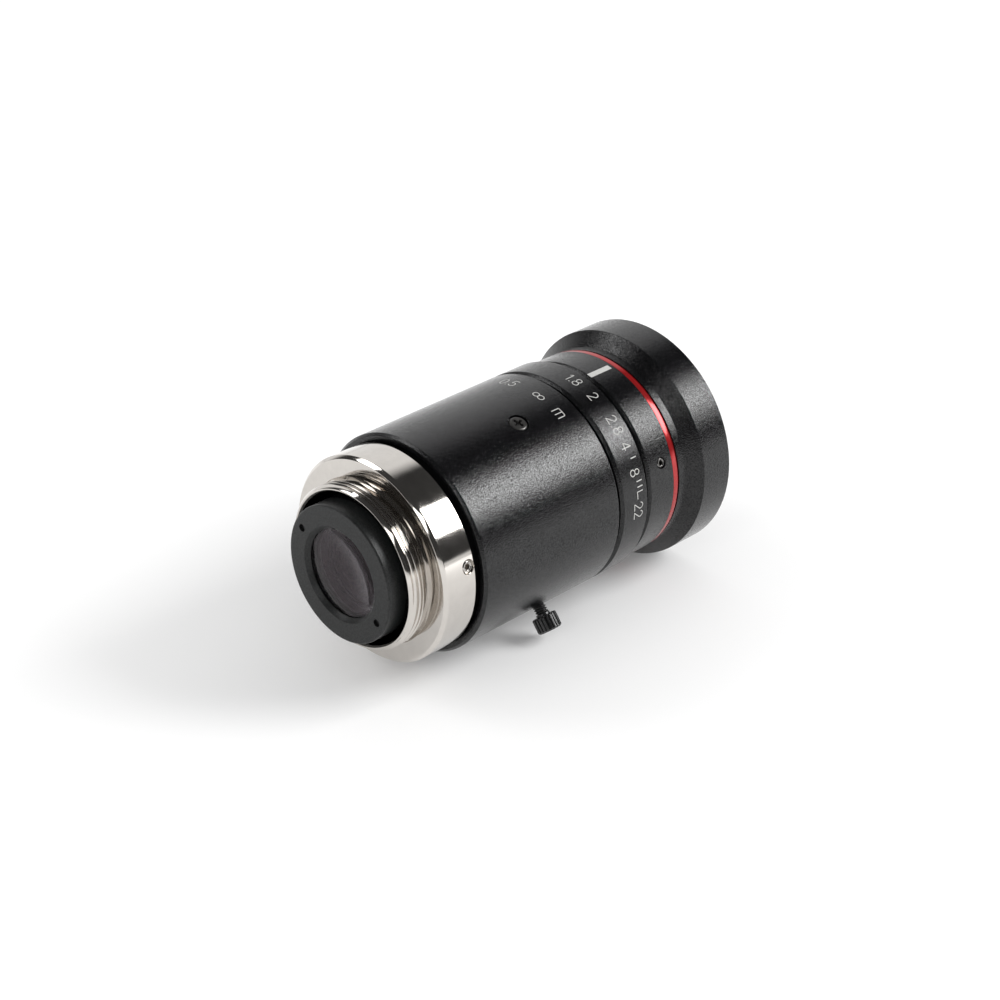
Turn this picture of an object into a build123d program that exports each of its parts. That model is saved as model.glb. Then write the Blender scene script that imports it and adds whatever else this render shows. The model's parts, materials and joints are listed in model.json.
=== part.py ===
from build123d import *
import cmath
import math
import os

# Machine vision lens with a C-mount, a focusing ring and a hand-set iris, in millimetres.
# The optical axis is Y: the origin is the centre of the flange face, and +Y points at the subject.
# Angles round the axis are counted in degrees from +Z towards +X.

# Clearances
FIT = 0.02                  # pieces of one body, screwed or dropped in
RUN = 0.04                  # turning and sliding fits, radial
END_PLAY = 0.1              # axial play of a ring that turns

# C-mount base
THREAD_RADIUS = 12.7        # 1 inch thread, 32 turns per inch
THREAD_LENGTH = 3.6
THREAD_LEAD = 0.45          # chamfer at the start of the thread
THREAD_RELIEF = 1.2         # undercut between thread and flange
RELIEF_DEPTH = 0.55
FLANGE_RELIEF = 0.2         # corner groove in the flange face round the foot of the thread
FLANGE_RELIEF_WIDTH = 0.1   # that groove runs this far outside the thread crest
MOUNT_WALL = 0.95           # thread crest to mount bore
BORE_CHAMFER = 0.3
FLANGE_BEVEL = 0.5
MOUNT_LENGTH = 5.85         # flange face to the front end of the bright cylinder
MOUNT_FLOOR = 1.4           # thickness of the floor behind the flange
SPIGOT_WALL = 1.81          # guide sleeve where it sits in the mount
MOUNT_RIM = 1.92            # bright cylinder round that spigot
MOUNT_SCREW_Y = 4.7
MOUNT_SCREW_ANGLE = 77.5
MOUNT_SCREW_RADIUS = 1.0
MOUNT_SCREW_LENGTH = 1.7
MOUNT_SCREW_SUNK = 0.15
SOCKET_DEPTH = 0.8          # hexagon sockets of all grub screws
SOCKET_SHARE = 0.52         # socket corner radius as a share of the screw's

# Focusing ring and what it turns on
REAR_GAP = 0.9              # dark gap between bright cylinder and focusing ring
FOCUS_LENGTH = 27.75
FOCUS_BEVEL = 0.12
FOCUS_REAR_BEVEL = 0.4
HELICOID_WALL = 1.4         # focusing ring round the helicoid
HELICOID_LENGTH = 7.6
SLEEVE_STEP = 0.46          # helicoid bore to guide sleeve bore
REAR_FACE_WIDTH = 1.15      # flat rear face of the focusing ring
REAR_FACE_CHAMFER = 0.65
SLEEVE_WALL = 1.66
SLEEVE_SHORTFALL = 0.4      # sleeve ends this far short of the helicoid bore
FOCUS_TRAVEL = 3.05
SCREW_SETBACK = 2.4         # screws that ride in the sleeve's groove, back from the sleeve's front end
RADIAL_SCREW_ANGLE = 21.5
RADIAL_SCREW_RADIUS = 0.8
SCREW_HEAD_RADIUS = 1.4
SCREW_HEAD_HEIGHT = 0.7
SCREW_SUNK = 0.12
CROSS_WIDTH = 0.42
CROSS_SPAN = 1.6
CROSS_DEPTH = 0.45
GROOVE_DEPTH = 0.8
GROOVE_PLAY = 0.08

# Lock screw with ribbed head, a third of a turn from the screw above
LOCK_HEAD_RADIUS = 1.93
LOCK_HEAD_LENGTH = 2.45
LOCK_HEAD_BEVEL = 0.25      # bevelled crown above the ribs
LOCK_STANDOFF = 1.65        # ring surface to the underside of the head
LOCK_RIBS = 20
LOCK_RIB_DEPTH = 0.16
LOCK_SHANK_RADIUS = 1.0     # thread through the ring, over a thinner point in the sleeve's groove
LOCK_NECK_RADIUS = 1.08
LOCK_NECK_LENGTH = 0.35
LOCK_POINT_SETBACK = 0.1    # the full shank ends this far outside the ring's bore

# Aperture ring
RING_GAP = 0.7
APERTURE_LENGTH = 5.5
APERTURE_BEVEL = 0.45
APERTURE_WALL = 2.01
SMALL_BEVEL = 0.12
APERTURE_TRAVEL = 68.4      # degrees from the widest stop to the smallest
DRIVE_SCREW_ANGLE = 252.0
DRIVE_SCREW_RADIUS = 0.7
DRIVE_HEAD_RADIUS = 1.25
DRIVE_HEAD_HEIGHT = 0.6

# Index ring, accent ring and front barrel
INDEX_GAP = 1.0
INDEX_STEP = 0.5            # index ring below the aperture ring
INDEX_LENGTH = 5.5
INDEX_BEVEL = 0.45
INDEX_HUB_WALL = 0.65
INDEX_SCREW_OFFSET = 2.2    # from the front end of the ring
INDEX_SCREW_ANGLE = 72.5
INDEX_SCREW_RADIUS = 0.85
INDEX_SCREW_SUNK = 0.12
INDEX_SCREW_CLEARANCE = 0.05    # screw's point to the floor of its dimple in the barrel
DIMPLE_DEPTH = 0.35
ACCENT_LENGTH = 1.45
ACCENT_SUNK = 0.05          # below the index ring
ACCENT_ROUND = 0.3          # width of the eased edges, half as deep
NECK_STEP = 0.2             # neck below the index ring
NECK_LENGTH = 1.35
CONE_LENGTH = 1.93
HOOD_WALL = 0.75            # filter thread to the outside of the hood
HOOD_LENGTH = 5.9
HOOD_BEVEL = 0.2
FILTER_RADIUS = 17.75       # M35.5 x 0.5 filter thread
FILTER_DEPTH = 4.2
FILTER_STEP = 0.75
FRONT_FUNNEL = 1.35

# Lens barrel that carries the glass and slides inside the sleeve
BARREL_WALL = 0.9           # wall at the iris
BARREL_RELIEF = 1.6         # rear cell to the barrel round it
BARREL_REAR_WALL = 1.2
BARREL_REAR_Y = 9.0
BARREL_NOSE = 1.8           # barrel runs on past the accent ring
KEY_RADIUS = 1.0
KEY_Y = 14.0
KEY_ANGLE = 200.0

# Rear cell, its cap and its glass
NOSE_GAP = 1.15             # mount bore to cell
CELL_PROUD = 5.8            # rear face of the cap behind the flange face
CAP_WALL = 0.7
CAP_LIP = 0.8
CAP_SKIRT = 2.4
CAP_BEVEL = 0.25
CAP_OPENING = 6.8
CAP_CHAMFER = 0.65
SPANNER_INSET = 1.6         # spanner holes in from the outside of the cap
SPANNER_RADIUS = 0.6
SPANNER_DEPTH = 0.55
SPANNER_ANGLE = 121.0
CELL_WALL = 1.25
CELL_LIP = 0.5
CELL_THREAD_LENGTH = 5.5
CELL_FRONT_SETBACK = 1.5    # cell ends this far behind the iris plate
STOP_LEDGE = 1.25           # light stop in the middle of the cell
MIDDLE_RETAINER = 1.6       # length of the ring that holds the front glass of the cell

# Iris
BLADES = 6
IRIS_PLATE = 0.9
IRIS_OPENING = 5.5
BLADE_THICKNESS = 0.1
BLADE_PITCH = 0.14
BLADE_INNER = 6.0
BLADE_WIDTH = 4.6
BLADE_SWEEP = 125.0
SMALLEST_OPENING = 0.45
PIVOT_MARGIN = 1.6          # edge of the iris plate to the pivots
PIN_RADIUS = 0.4
PIN_DEPTH = 0.6
LEVER = 4.0                 # pivot to drive pin
CAM_THICKNESS = 2.85
CAM_GROOVE_DEPTH = 0.9
CAM_WALL = 4.6
IRIS_RETAINER_LENGTH = 1.0
SLOT_PLAY = 0.12

# Front cell and its glass
FRONT_CELL_FLANGE = 0.8
FRONT_CELL_WALL = 1.1
FRONT_LIP_HEIGHT = 0.55
FRONT_GLASS_EDGE = 3.8
SECOND_GLASS_EDGE = 2.2
SECOND_GLASS_STEP = 2.5
REAR_OPENING_STEP = 2.4
RETAINER_WIDTH = 1.1
RETAINER_LENGTH = 1.2
SLOT_WIDTH = 1.0

# Places along the axis that follow from the sizes above
focus_rear = MOUNT_LENGTH + REAR_GAP
focus_front = focus_rear + FOCUS_LENGTH
aperture_rear = focus_front + RING_GAP
aperture_front = aperture_rear + APERTURE_LENGTH
index_rear = aperture_front + INDEX_GAP
index_front = index_rear + INDEX_LENGTH
accent_front = index_front + ACCENT_LENGTH
neck_front = accent_front + NECK_LENGTH
cone_front = neck_front + CONE_LENGTH
lens_front = cone_front + HOOD_LENGTH
shoulder = aperture_rear - END_PLAY
helicoid_rear = focus_front - HELICOID_LENGTH
sleeve_front = helicoid_rear - SLEEVE_SHORTFALL
screw_y = sleeve_front - SCREW_SETBACK
barrel_front = accent_front + BARREL_NOSE
iris_seat = shoulder + 0.2
blade_rear = iris_seat + IRIS_PLATE + BLADE_PITCH - BLADE_THICKNESS
cam_rear = blade_rear + BLADES * BLADE_PITCH
cam_front = cam_rear + CAM_THICKNESS
retainer_rear = cam_front + END_PLAY
drive_y = cam_rear + (CAM_GROOVE_DEPTH + CAM_THICKNESS) / 2
cell_rear = -CELL_PROUD + CAP_LIP
cell_front = iris_seat - CELL_FRONT_SETBACK

# Three screws share the sleeve's groove: two guide screws with a lock screw between them
guide_screw_angles = (RADIAL_SCREW_ANGLE, RADIAL_SCREW_ANGLE + 240)
lock_screw_angle = RADIAL_SCREW_ANGLE + 120

# Radii that follow from the sizes above
mount_bore = THREAD_RADIUS - MOUNT_WALL
cell_radius = mount_bore - NOSE_GAP
barrel_rear_bore = cell_radius + BARREL_RELIEF
barrel_rear_radius = barrel_rear_bore + BARREL_REAR_WALL
spigot_bore = barrel_rear_bore + SPIGOT_WALL + FIT
flange_radius = spigot_bore + MOUNT_RIM
sleeve_bore = barrel_rear_radius + RUN
sleeve_radius = sleeve_bore + SLEEVE_WALL
focus_bore = sleeve_radius + RUN
helicoid_bore = focus_bore + SLEEVE_STEP
collar_radius = helicoid_bore - RUN
body_radius = helicoid_bore + HELICOID_WALL
index_radius = body_radius - INDEX_STEP
neck_radius = index_radius - NECK_STEP
hood_radius = FILTER_RADIUS + HOOD_WALL
aperture_bore = body_radius - APERTURE_WALL
barrel_radius = aperture_bore - RUN
barrel_bore = barrel_radius - BARREL_WALL
iris_radius = barrel_bore - RUN
pivot_circle = iris_radius - PIVOT_MARGIN
ring_bore = barrel_radius + FIT
cap_bore = cell_radius - CAP_WALL
cell_bore = cap_bore - CELL_WALL
glass_radius = cell_bore - FIT
stop_radius = cell_bore - STOP_LEDGE

# The blades turn by an angle in a fixed ratio to the aperture ring, and close the inner edge this far
blade_shift = BLADE_INNER - SMALLEST_OPENING
blade_travel = math.degrees(2 * math.asin(blade_shift / (2 * pivot_circle)))


def turned(*outline):
    """Solid of revolution round the optical axis from a closed outline of (radius, y) points."""
    return revolve(make_face(Polyline(*outline, close=True)), Axis.Y)


def tube(outer, inner, rear, front):
    return turned((inner, rear), (outer, rear), (outer, front), (inner, front))


def radial(piece, angle):
    """Turn a piece that was drawn above the axis, along +Z, to its angle round the axis."""
    return Rot(0, angle, 0) * piece


def peg(radius, y, inner, outer):
    """Round peg that points away from the axis along +Z."""
    return Pos(0, y, (inner + outer) / 2) * Cylinder(radius, outer - inner)


def axial_pin(radius, place, rear, front):
    """Pin parallel to the optical axis at a complex place, z + x i."""
    height = front - rear
    return Pos(place.imag, (rear + front) / 2, place.real) * Rot(90, 0, 0) * Cylinder(radius, height)


def thirds(first):
    return [first + 120 * turn for turn in range(3)]


def polar(radius, angle):
    return cmath.rect(radius, math.radians(angle))


def flat_plate(sketch, rear, thickness):
    """Plate square to the axis from a sketch whose x is the world's z and whose y is the world's x."""
    plane = Plane(origin=(0, rear, 0), x_dir=(0, 0, 1), z_dir=(0, 1, 0))
    return extrude(plane * sketch, thickness)


def sector(outer, inner, first, last):
    """Piece of a ring between two angles, for a flat plate."""
    middle = (first + last) / 2
    corner = [polar(radius, angle) for radius, angle in
              ((inner, first), (outer, first), (outer, middle), (outer, last), (inner, last), (inner, middle))]
    start, far, crown, end, near, hollow = [(c.real, c.imag) for c in corner]
    edges = [Line(start, far), ThreePointArc(far, crown, end), Line(end, near), ThreePointArc(near, hollow, start)]
    return make_face(edges)


def disc(radius, place):
    return Pos(place.real, place.imag) * Circle(radius)


def rounded_bar(radius, start, end):
    """Bar with round ends between two complex places."""
    along = end - start
    middle = (start + end) / 2
    turn = math.degrees(cmath.phase(along))
    bar = Pos(middle.real, middle.imag) * Rot(0, 0, turn) * Rectangle(abs(along), 2 * radius)
    return disc(radius, start) + bar + disc(radius, end)


def lens_arc(clear, rim, bulge):
    """Points on a lens face from the axis to its flat land: the vertex stands off the land by the bulge."""
    ball = (clear ** 2 + bulge ** 2) / (2 * bulge)
    half = math.asin(clear / abs(ball)) / 2
    middle = (abs(ball) * math.sin(half), rim + bulge - ball * (1 - math.cos(half)))
    return (0, rim + bulge), middle, (clear, rim)


def lens_element(radius, rear_clear, front_clear, rear, front, rear_bulge, front_bulge):
    """Glass element with flat lands round its clear faces, each face bulging along +Y by its own amount."""
    rear_arc = lens_arc(rear_clear, rear, rear_bulge)
    front_arc = lens_arc(front_clear, front, front_bulge)
    rim = Polyline((rear_clear, rear), (radius, rear), (radius, front), (front_clear, front))
    outline = [ThreePointArc(*rear_arc), *rim.edges(), ThreePointArc(*front_arc), Line(front_arc[0], rear_arc[0])]
    return revolve(make_face(outline), Axis.Y)


def slotted_ring(outer, inner, rear, front):
    """Threaded retaining ring with two spanner slots in its front face."""
    ring = tube(outer, inner, rear, front)
    notch = Pos(0, front, 0) * Box(2 * outer + 1, (front - rear), SLOT_WIDTH)
    return ring - notch


def make_mount_base():
    relief = THREAD_RADIUS - RELIEF_DEPTH
    base = turned(
        (mount_bore, -THREAD_LENGTH + BORE_CHAMFER),
        (mount_bore + BORE_CHAMFER, -THREAD_LENGTH),
        (THREAD_RADIUS - THREAD_LEAD, -THREAD_LENGTH),
        (THREAD_RADIUS, -THREAD_LENGTH + THREAD_LEAD),
        (THREAD_RADIUS, -THREAD_RELIEF),
        (relief, -THREAD_RELIEF),
        (relief, FLANGE_RELIEF),
        (THREAD_RADIUS + FLANGE_RELIEF_WIDTH, FLANGE_RELIEF),
        (THREAD_RADIUS + FLANGE_RELIEF_WIDTH, 0),
        (flange_radius - FLANGE_BEVEL, 0),
        (flange_radius, FLANGE_BEVEL),
        (flange_radius, MOUNT_LENGTH - SMALL_BEVEL),
        (flange_radius - SMALL_BEVEL, MOUNT_LENGTH),
        (spigot_bore, MOUNT_LENGTH),
        (spigot_bore, MOUNT_FLOOR),
        (mount_bore, MOUNT_FLOOR),
    )
    for angle in thirds(MOUNT_SCREW_ANGLE):
        hole = peg(MOUNT_SCREW_RADIUS + FIT, MOUNT_SCREW_Y, spigot_bore - 1, flange_radius + 1)
        base -= radial(hole, angle)
    return base


def grub_screw(radius, y, inner, outer):
    """Flat-point grub screw with a hexagon socket."""
    socket = Pos(0, y, outer - SOCKET_DEPTH) * extrude(RegularPolygon(radius * SOCKET_SHARE, 6), 2 * SOCKET_DEPTH)
    return peg(radius, y, inner, outer) - socket


def make_mount_set_screws():
    outer = flange_radius - MOUNT_SCREW_SUNK
    one = grub_screw(MOUNT_SCREW_RADIUS, MOUNT_SCREW_Y, outer - MOUNT_SCREW_LENGTH, outer)
    return Compound([radial(one, angle) for angle in thirds(MOUNT_SCREW_ANGLE)])


def make_sleeve():
    spigot = spigot_bore - FIT
    narrow = barrel_rear_bore
    groove_half = RADIAL_SCREW_RADIUS + GROOVE_PLAY
    groove_floor = sleeve_radius - GROOVE_DEPTH
    step = focus_rear + 0.75
    sleeve = turned(
        (narrow, MOUNT_FLOOR + FIT),
        (spigot, MOUNT_FLOOR + FIT),
        (spigot, MOUNT_LENGTH + FIT),
        (sleeve_radius, MOUNT_LENGTH + FIT),
        (sleeve_radius, screw_y - groove_half),
        (groove_floor, screw_y - groove_half),
        (groove_floor, screw_y + groove_half),
        (sleeve_radius, screw_y + groove_half),
        (sleeve_radius, sleeve_front),
        (sleeve_bore, sleeve_front),
        (sleeve_bore, step),
        (narrow, step),
    )
    half = KEY_RADIUS + RUN
    start, end = KEY_Y - SLOT_PLAY, KEY_Y + FOCUS_TRAVEL + SLOT_PLAY
    slot = Pos(0, (start + end) / 2, sleeve_radius) * extrude(
        SlotCenterToCenter(end - start, 2 * half, rotation=90), 2 * SLEEVE_WALL, both=True)
    return sleeve - radial(slot, KEY_ANGLE)


def make_focus_ring():
    inner_edge = body_radius - REAR_FACE_WIDTH
    ring = turned(
        (inner_edge, focus_rear),
        (body_radius - FOCUS_REAR_BEVEL, focus_rear),
        (body_radius, focus_rear + FOCUS_REAR_BEVEL),
        (body_radius, focus_front - FOCUS_BEVEL),
        (body_radius - FOCUS_BEVEL, focus_front),
        (helicoid_bore, focus_front),
        (helicoid_bore, helicoid_rear),
        (focus_bore, helicoid_rear),
        (focus_bore, focus_rear + REAR_FACE_CHAMFER),
    )
    head_floor = body_radius - SCREW_SUNK - SCREW_HEAD_HEIGHT - FIT
    for angle in guide_screw_angles:
        ring -= radial(peg(RADIAL_SCREW_RADIUS + FIT, screw_y, focus_bore - 1, body_radius + 1), angle)
        ring -= radial(peg(SCREW_HEAD_RADIUS + 0.1, screw_y, head_floor, body_radius + 1), angle)
    lock_hole = peg(LOCK_SHANK_RADIUS + FIT, screw_y, focus_bore - 1, body_radius + 1)
    return ring - radial(lock_hole, lock_screw_angle)


def make_guide_screws():
    top = body_radius - SCREW_SUNK
    head = peg(SCREW_HEAD_RADIUS, screw_y, top - SCREW_HEAD_HEIGHT, top)
    head = chamfer(head.faces().sort_by(Axis.Z)[-1].edges(), SCREW_HEAD_HEIGHT / 4)
    tip = sleeve_radius - GROOVE_DEPTH + GROOVE_PLAY
    screw = head + peg(RADIAL_SCREW_RADIUS, screw_y, tip, top - SCREW_HEAD_HEIGHT)
    for turn in (0, 90):
        bar = Box(CROSS_SPAN, CROSS_WIDTH, CROSS_DEPTH)
        screw -= Pos(0, screw_y, top - CROSS_DEPTH / 2) * Rot(0, 0, turn + 20) * bar
    return Compound([radial(screw, angle) for angle in guide_screw_angles])


def make_lock_screw():
    bottom = body_radius + LOCK_STANDOFF
    top = bottom + LOCK_HEAD_LENGTH
    points = []
    for rib in range(LOCK_RIBS):
        for part, depth in ((0.0, 0), (0.45, 0), (0.6, LOCK_RIB_DEPTH), (0.85, LOCK_RIB_DEPTH)):
            place = polar(LOCK_HEAD_RADIUS - depth, (rib + part) * 360 / LOCK_RIBS)
            points.append((place.real, place.imag))
    outline = make_face(Polyline(*points, close=True))
    head = Pos(0, screw_y, bottom) * extrude(outline, LOCK_HEAD_LENGTH - LOCK_HEAD_BEVEL)
    rim = LOCK_HEAD_RADIUS - LOCK_RIB_DEPTH - FIT
    head += Pos(0, screw_y, top - LOCK_HEAD_BEVEL / 2) * Cone(rim, rim - LOCK_HEAD_BEVEL, LOCK_HEAD_BEVEL)
    dish = Pos(0, screw_y, top) * Cylinder(LOCK_HEAD_RADIUS * 0.62, 0.3)
    neck = peg(LOCK_NECK_RADIUS, screw_y, bottom - LOCK_NECK_LENGTH, bottom)
    step = focus_bore + LOCK_POINT_SETBACK
    shank = peg(LOCK_SHANK_RADIUS, screw_y, step, bottom - LOCK_NECK_LENGTH)
    point = peg(RADIAL_SCREW_RADIUS, screw_y, sleeve_radius - GROOVE_DEPTH + GROOVE_PLAY, step)
    return radial(head - dish + neck + shank + point, lock_screw_angle)


def make_lens_barrel():
    barrel = turned(
        (barrel_rear_bore, BARREL_REAR_Y),
        (barrel_rear_radius, BARREL_REAR_Y),
        (barrel_rear_radius, helicoid_rear),
        (collar_radius, helicoid_rear),
        (collar_radius, shoulder),
        (barrel_radius, shoulder),
        (barrel_radius, barrel_front),
        (barrel_bore, barrel_front),
        (barrel_bore, iris_seat),
        (barrel_rear_bore, iris_seat),
    )
    barrel -= radial(peg(KEY_RADIUS, KEY_Y, barrel_rear_bore - 1, sleeve_bore), KEY_ANGLE)
    half = DRIVE_SCREW_RADIUS + SLOT_PLAY
    spare = math.degrees(half / barrel_radius)
    first = DRIVE_SCREW_ANGLE - APERTURE_TRAVEL - spare
    slot = flat_plate(sector(barrel_radius + 1, barrel_bore - 1, first, DRIVE_SCREW_ANGLE + spare),
                      drive_y - half, 2 * half)
    barrel -= slot
    for angle in thirds(INDEX_SCREW_ANGLE):
        floor = barrel_radius - DIMPLE_DEPTH
        dimple = peg(INDEX_SCREW_RADIUS + FIT, index_front - INDEX_SCREW_OFFSET, floor, barrel_radius + 1)
        barrel -= radial(dimple, angle)
    return barrel


def make_guide_key():
    return radial(peg(KEY_RADIUS, KEY_Y, barrel_rear_bore + 0.1, sleeve_radius - 0.2), KEY_ANGLE)


def make_rear_cell():
    thread = barrel_rear_bore - FIT
    lip = (barrel_rear_bore + barrel_rear_radius) / 2
    skirt_end = -CELL_PROUD + CAP_LIP + CAP_SKIRT
    front_bore = cell_bore + FRONT_BORE_STEP
    return turned(
        (cell_bore, cell_rear),
        (cap_bore - FIT, cell_rear),
        (cap_bore - FIT, skirt_end + FIT),
        (cell_radius, skirt_end + FIT),
        (cell_radius, BARREL_REAR_Y - CELL_LIP),
        (lip, BARREL_REAR_Y - CELL_LIP),
        (lip, BARREL_REAR_Y - FIT),
        (thread, BARREL_REAR_Y - FIT),
        (thread, BARREL_REAR_Y + CELL_THREAD_LENGTH),
        (cell_radius, BARREL_REAR_Y + CELL_THREAD_LENGTH),
        (cell_radius, cell_front),
        (front_bore, cell_front),
        (front_bore, front_group_rear),
        (stop_radius, front_group_rear),
        (stop_radius, rear_group_front),
        (cell_bore, rear_group_front),
    )


# Glass of the rear cell, from the rear end forwards: rim thickness, rear bulge, front bulge
REAR_GLASS = (
    ("rear_lens", 3.2, -0.45, 0.8),
    ("rear_spacer", 2.0, None, None),
    ("seventh_lens", 2.4, 0.9, 0.5),
    ("middle_spacer", 1.8, None, None),
    ("doublet_rear", 3.0, -0.7, -1.1),
    ("doublet_front", 3.2, -1.1, 0.9),
)
CELL_FRONT_GLASS = (
    ("fourth_lens", 3.1, -0.6, 1.0),
    ("front_group_spacer", 1.5, None, None),
    ("third_lens", 3.7, 1.0, 1.2),
)
SPACER_WIDTH = 1.2
FRONT_BORE_STEP = 0.35      # front bore of the cell over the rear one
rear_group_front = cell_rear + sum(row[1] for row in REAR_GLASS)
front_group_rear = cell_front - MIDDLE_RETAINER - sum(row[1] for row in CELL_FRONT_GLASS)


def glass_stack(rows, rear, radius):
    """Lens elements and spacer rings one behind another in one bore."""
    pieces = {}
    clear = min(CAP_OPENING, stop_radius, radius - SPACER_WIDTH) - FIT
    for name, length, rear_bulge, front_bulge in rows:
        if rear_bulge is None:
            pieces[name] = tube(radius, radius - SPACER_WIDTH, rear, rear + length)
        else:
            pieces[name] = lens_element(radius, clear, clear, rear, rear + length, rear_bulge, front_bulge)
        rear += length
    return pieces, rear


def make_rear_retainer():
    face = -CELL_PROUD
    skirt_end = face + CAP_LIP + CAP_SKIRT
    cap = turned(
        (CAP_OPENING, face + CAP_CHAMFER),
        (CAP_OPENING + CAP_CHAMFER, face),
        (cell_radius - CAP_BEVEL, face),
        (cell_radius, face + CAP_BEVEL),
        (cell_radius, skirt_end),
        (cap_bore, skirt_end),
        (cap_bore, cell_rear - FIT),
        (CAP_OPENING, cell_rear - FIT),
    )
    for angle in (SPANNER_ANGLE, SPANNER_ANGLE + 180):
        cap -= axial_pin(SPANNER_RADIUS, polar(cell_radius - SPANNER_INSET, angle), face - 1, face + SPANNER_DEPTH)
    return cap


def blade_places(blade):
    """Pivot and drive pin of a blade with the iris fully open."""
    turn = polar(1, 360 / BLADES * blade)
    return pivot_circle * turn, complex(pivot_circle, LEVER) * turn


def make_iris_base():
    plate = tube(iris_radius, IRIS_OPENING, iris_seat, iris_seat + IRIS_PLATE)
    for blade in range(BLADES):
        pivot, _ = blade_places(blade)
        plate -= axial_pin(PIN_RADIUS + RUN, pivot, iris_seat - 1, iris_seat + IRIS_PLATE + 1)
    return plate


def make_iris_blade(blade):
    pivot, drive = blade_places(blade)
    start = 360 / BLADES * blade
    outer = BLADE_INNER + BLADE_WIDTH
    lug = 2.2 * PIN_RADIUS
    crescent = sector(outer, BLADE_INNER, start, start + BLADE_SWEEP)
    tip = polar((outer + BLADE_INNER) / 2, start + BLADE_SWEEP)
    shape = crescent + disc(BLADE_WIDTH / 2, tip)
    shape += sector(pivot_circle, outer - 0.5, start, start + math.degrees(cmath.phase(drive / pivot)))
    shape += rounded_bar(lug, pivot, drive)
    rear = blade_rear + BLADE_PITCH * blade
    leaf = flat_plate(shape, rear, BLADE_THICKNESS)
    leaf += axial_pin(PIN_RADIUS, pivot, iris_seat + IRIS_PLATE - PIN_DEPTH, rear)
    leaf += axial_pin(PIN_RADIUS, drive, rear + BLADE_THICKNESS, cam_rear + PIN_DEPTH)
    return leaf


def make_cam_ring():
    ring = tube(iris_radius, iris_radius - CAM_WALL, cam_rear, cam_front)
    steps = 8
    overrun = 0.01
    for blade in range(BLADES):
        pivot, drive = blade_places(blade)
        track = []
        for step in range(steps + 1):
            share = -overrun + (1 + 2 * overrun) * step / steps
            pin = pivot + (drive - pivot) * polar(1, blade_travel * share)
            pin *= polar(1, APERTURE_TRAVEL * share)
            track.append((pin.real, pin.imag))
        path = Spline(*track)
        half = PIN_RADIUS + RUN
        groove = trace(path, 2 * half) + disc(half, complex(*track[0])) + disc(half, complex(*track[-1]))
        ring -= flat_plate(groove, cam_rear - 0.01, CAM_GROOVE_DEPTH)
    hole = peg(DRIVE_SCREW_RADIUS + FIT, drive_y, iris_radius - 1.8, iris_radius + 1)
    return ring - radial(hole, DRIVE_SCREW_ANGLE)


def make_drive_screw():
    top = body_radius - 0.05
    head = Pos(0, drive_y, top - DRIVE_HEAD_HEIGHT / 2) * Cone(
        DRIVE_SCREW_RADIUS, DRIVE_HEAD_RADIUS, DRIVE_HEAD_HEIGHT)
    shank = peg(DRIVE_SCREW_RADIUS, drive_y, iris_radius - 1.7, top - DRIVE_HEAD_HEIGHT)
    slit = Pos(0, drive_y, top) * Box(3 * DRIVE_HEAD_RADIUS, 0.35, 0.5)
    return radial(head + shank - slit, DRIVE_SCREW_ANGLE)


def make_aperture_ring():
    ring = turned(
        (aperture_bore, aperture_rear),
        (body_radius - APERTURE_BEVEL, aperture_rear),
        (body_radius, aperture_rear + APERTURE_BEVEL),
        (body_radius, aperture_front - SMALL_BEVEL),
        (body_radius - SMALL_BEVEL, aperture_front),
        (aperture_bore, aperture_front),
    )
    top = body_radius - 0.05 + FIT
    sink = Pos(0, drive_y, top - DRIVE_HEAD_HEIGHT / 2) * Cone(
        DRIVE_SCREW_RADIUS + FIT, DRIVE_HEAD_RADIUS + FIT, DRIVE_HEAD_HEIGHT)
    mouth = peg(DRIVE_HEAD_RADIUS + FIT, drive_y, top, body_radius + 1)
    hole = peg(DRIVE_SCREW_RADIUS + FIT, drive_y, aperture_bore - 1, body_radius)
    return ring - radial(sink + mouth + hole, DRIVE_SCREW_ANGLE)


def make_index_ring():
    hub = ring_bore + INDEX_HUB_WALL
    ring = turned(
        (ring_bore, aperture_front + END_PLAY),
        (hub, aperture_front + END_PLAY),
        (hub, index_rear),
        (index_radius - INDEX_BEVEL, index_rear),
        (index_radius, index_rear + INDEX_BEVEL),
        (index_radius, index_front),
        (ring_bore, index_front),
    )
    for angle in thirds(INDEX_SCREW_ANGLE):
        hole = peg(INDEX_SCREW_RADIUS + FIT, index_front - INDEX_SCREW_OFFSET, ring_bore - 1, index_radius + 1)
        ring -= radial(hole, angle)
    return ring


def make_index_set_screws():
    y = index_front - INDEX_SCREW_OFFSET
    seat = barrel_radius - DIMPLE_DEPTH + INDEX_SCREW_CLEARANCE
    screw = grub_screw(INDEX_SCREW_RADIUS, y, seat, index_radius - INDEX_SCREW_SUNK)
    return Compound([radial(screw, angle) for angle in thirds(INDEX_SCREW_ANGLE)])


def make_accent_ring():
    outer = index_radius - ACCENT_SUNK
    return turned(
        (ring_bore, index_front),
        (outer - ACCENT_ROUND / 2, index_front),
        (outer, index_front + ACCENT_ROUND),
        (outer, accent_front - ACCENT_ROUND),
        (outer - ACCENT_ROUND / 2, accent_front),
        (ring_bore, accent_front),
    )


clamp_y = barrel_front + FRONT_CELL_FLANGE + FIT
front_bore = barrel_bore - FRONT_CELL_WALL
funnel_rear = lens_front - FILTER_DEPTH - FRONT_FUNNEL
lip_radius = front_bore + FRONT_LIP_HEIGHT


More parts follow.
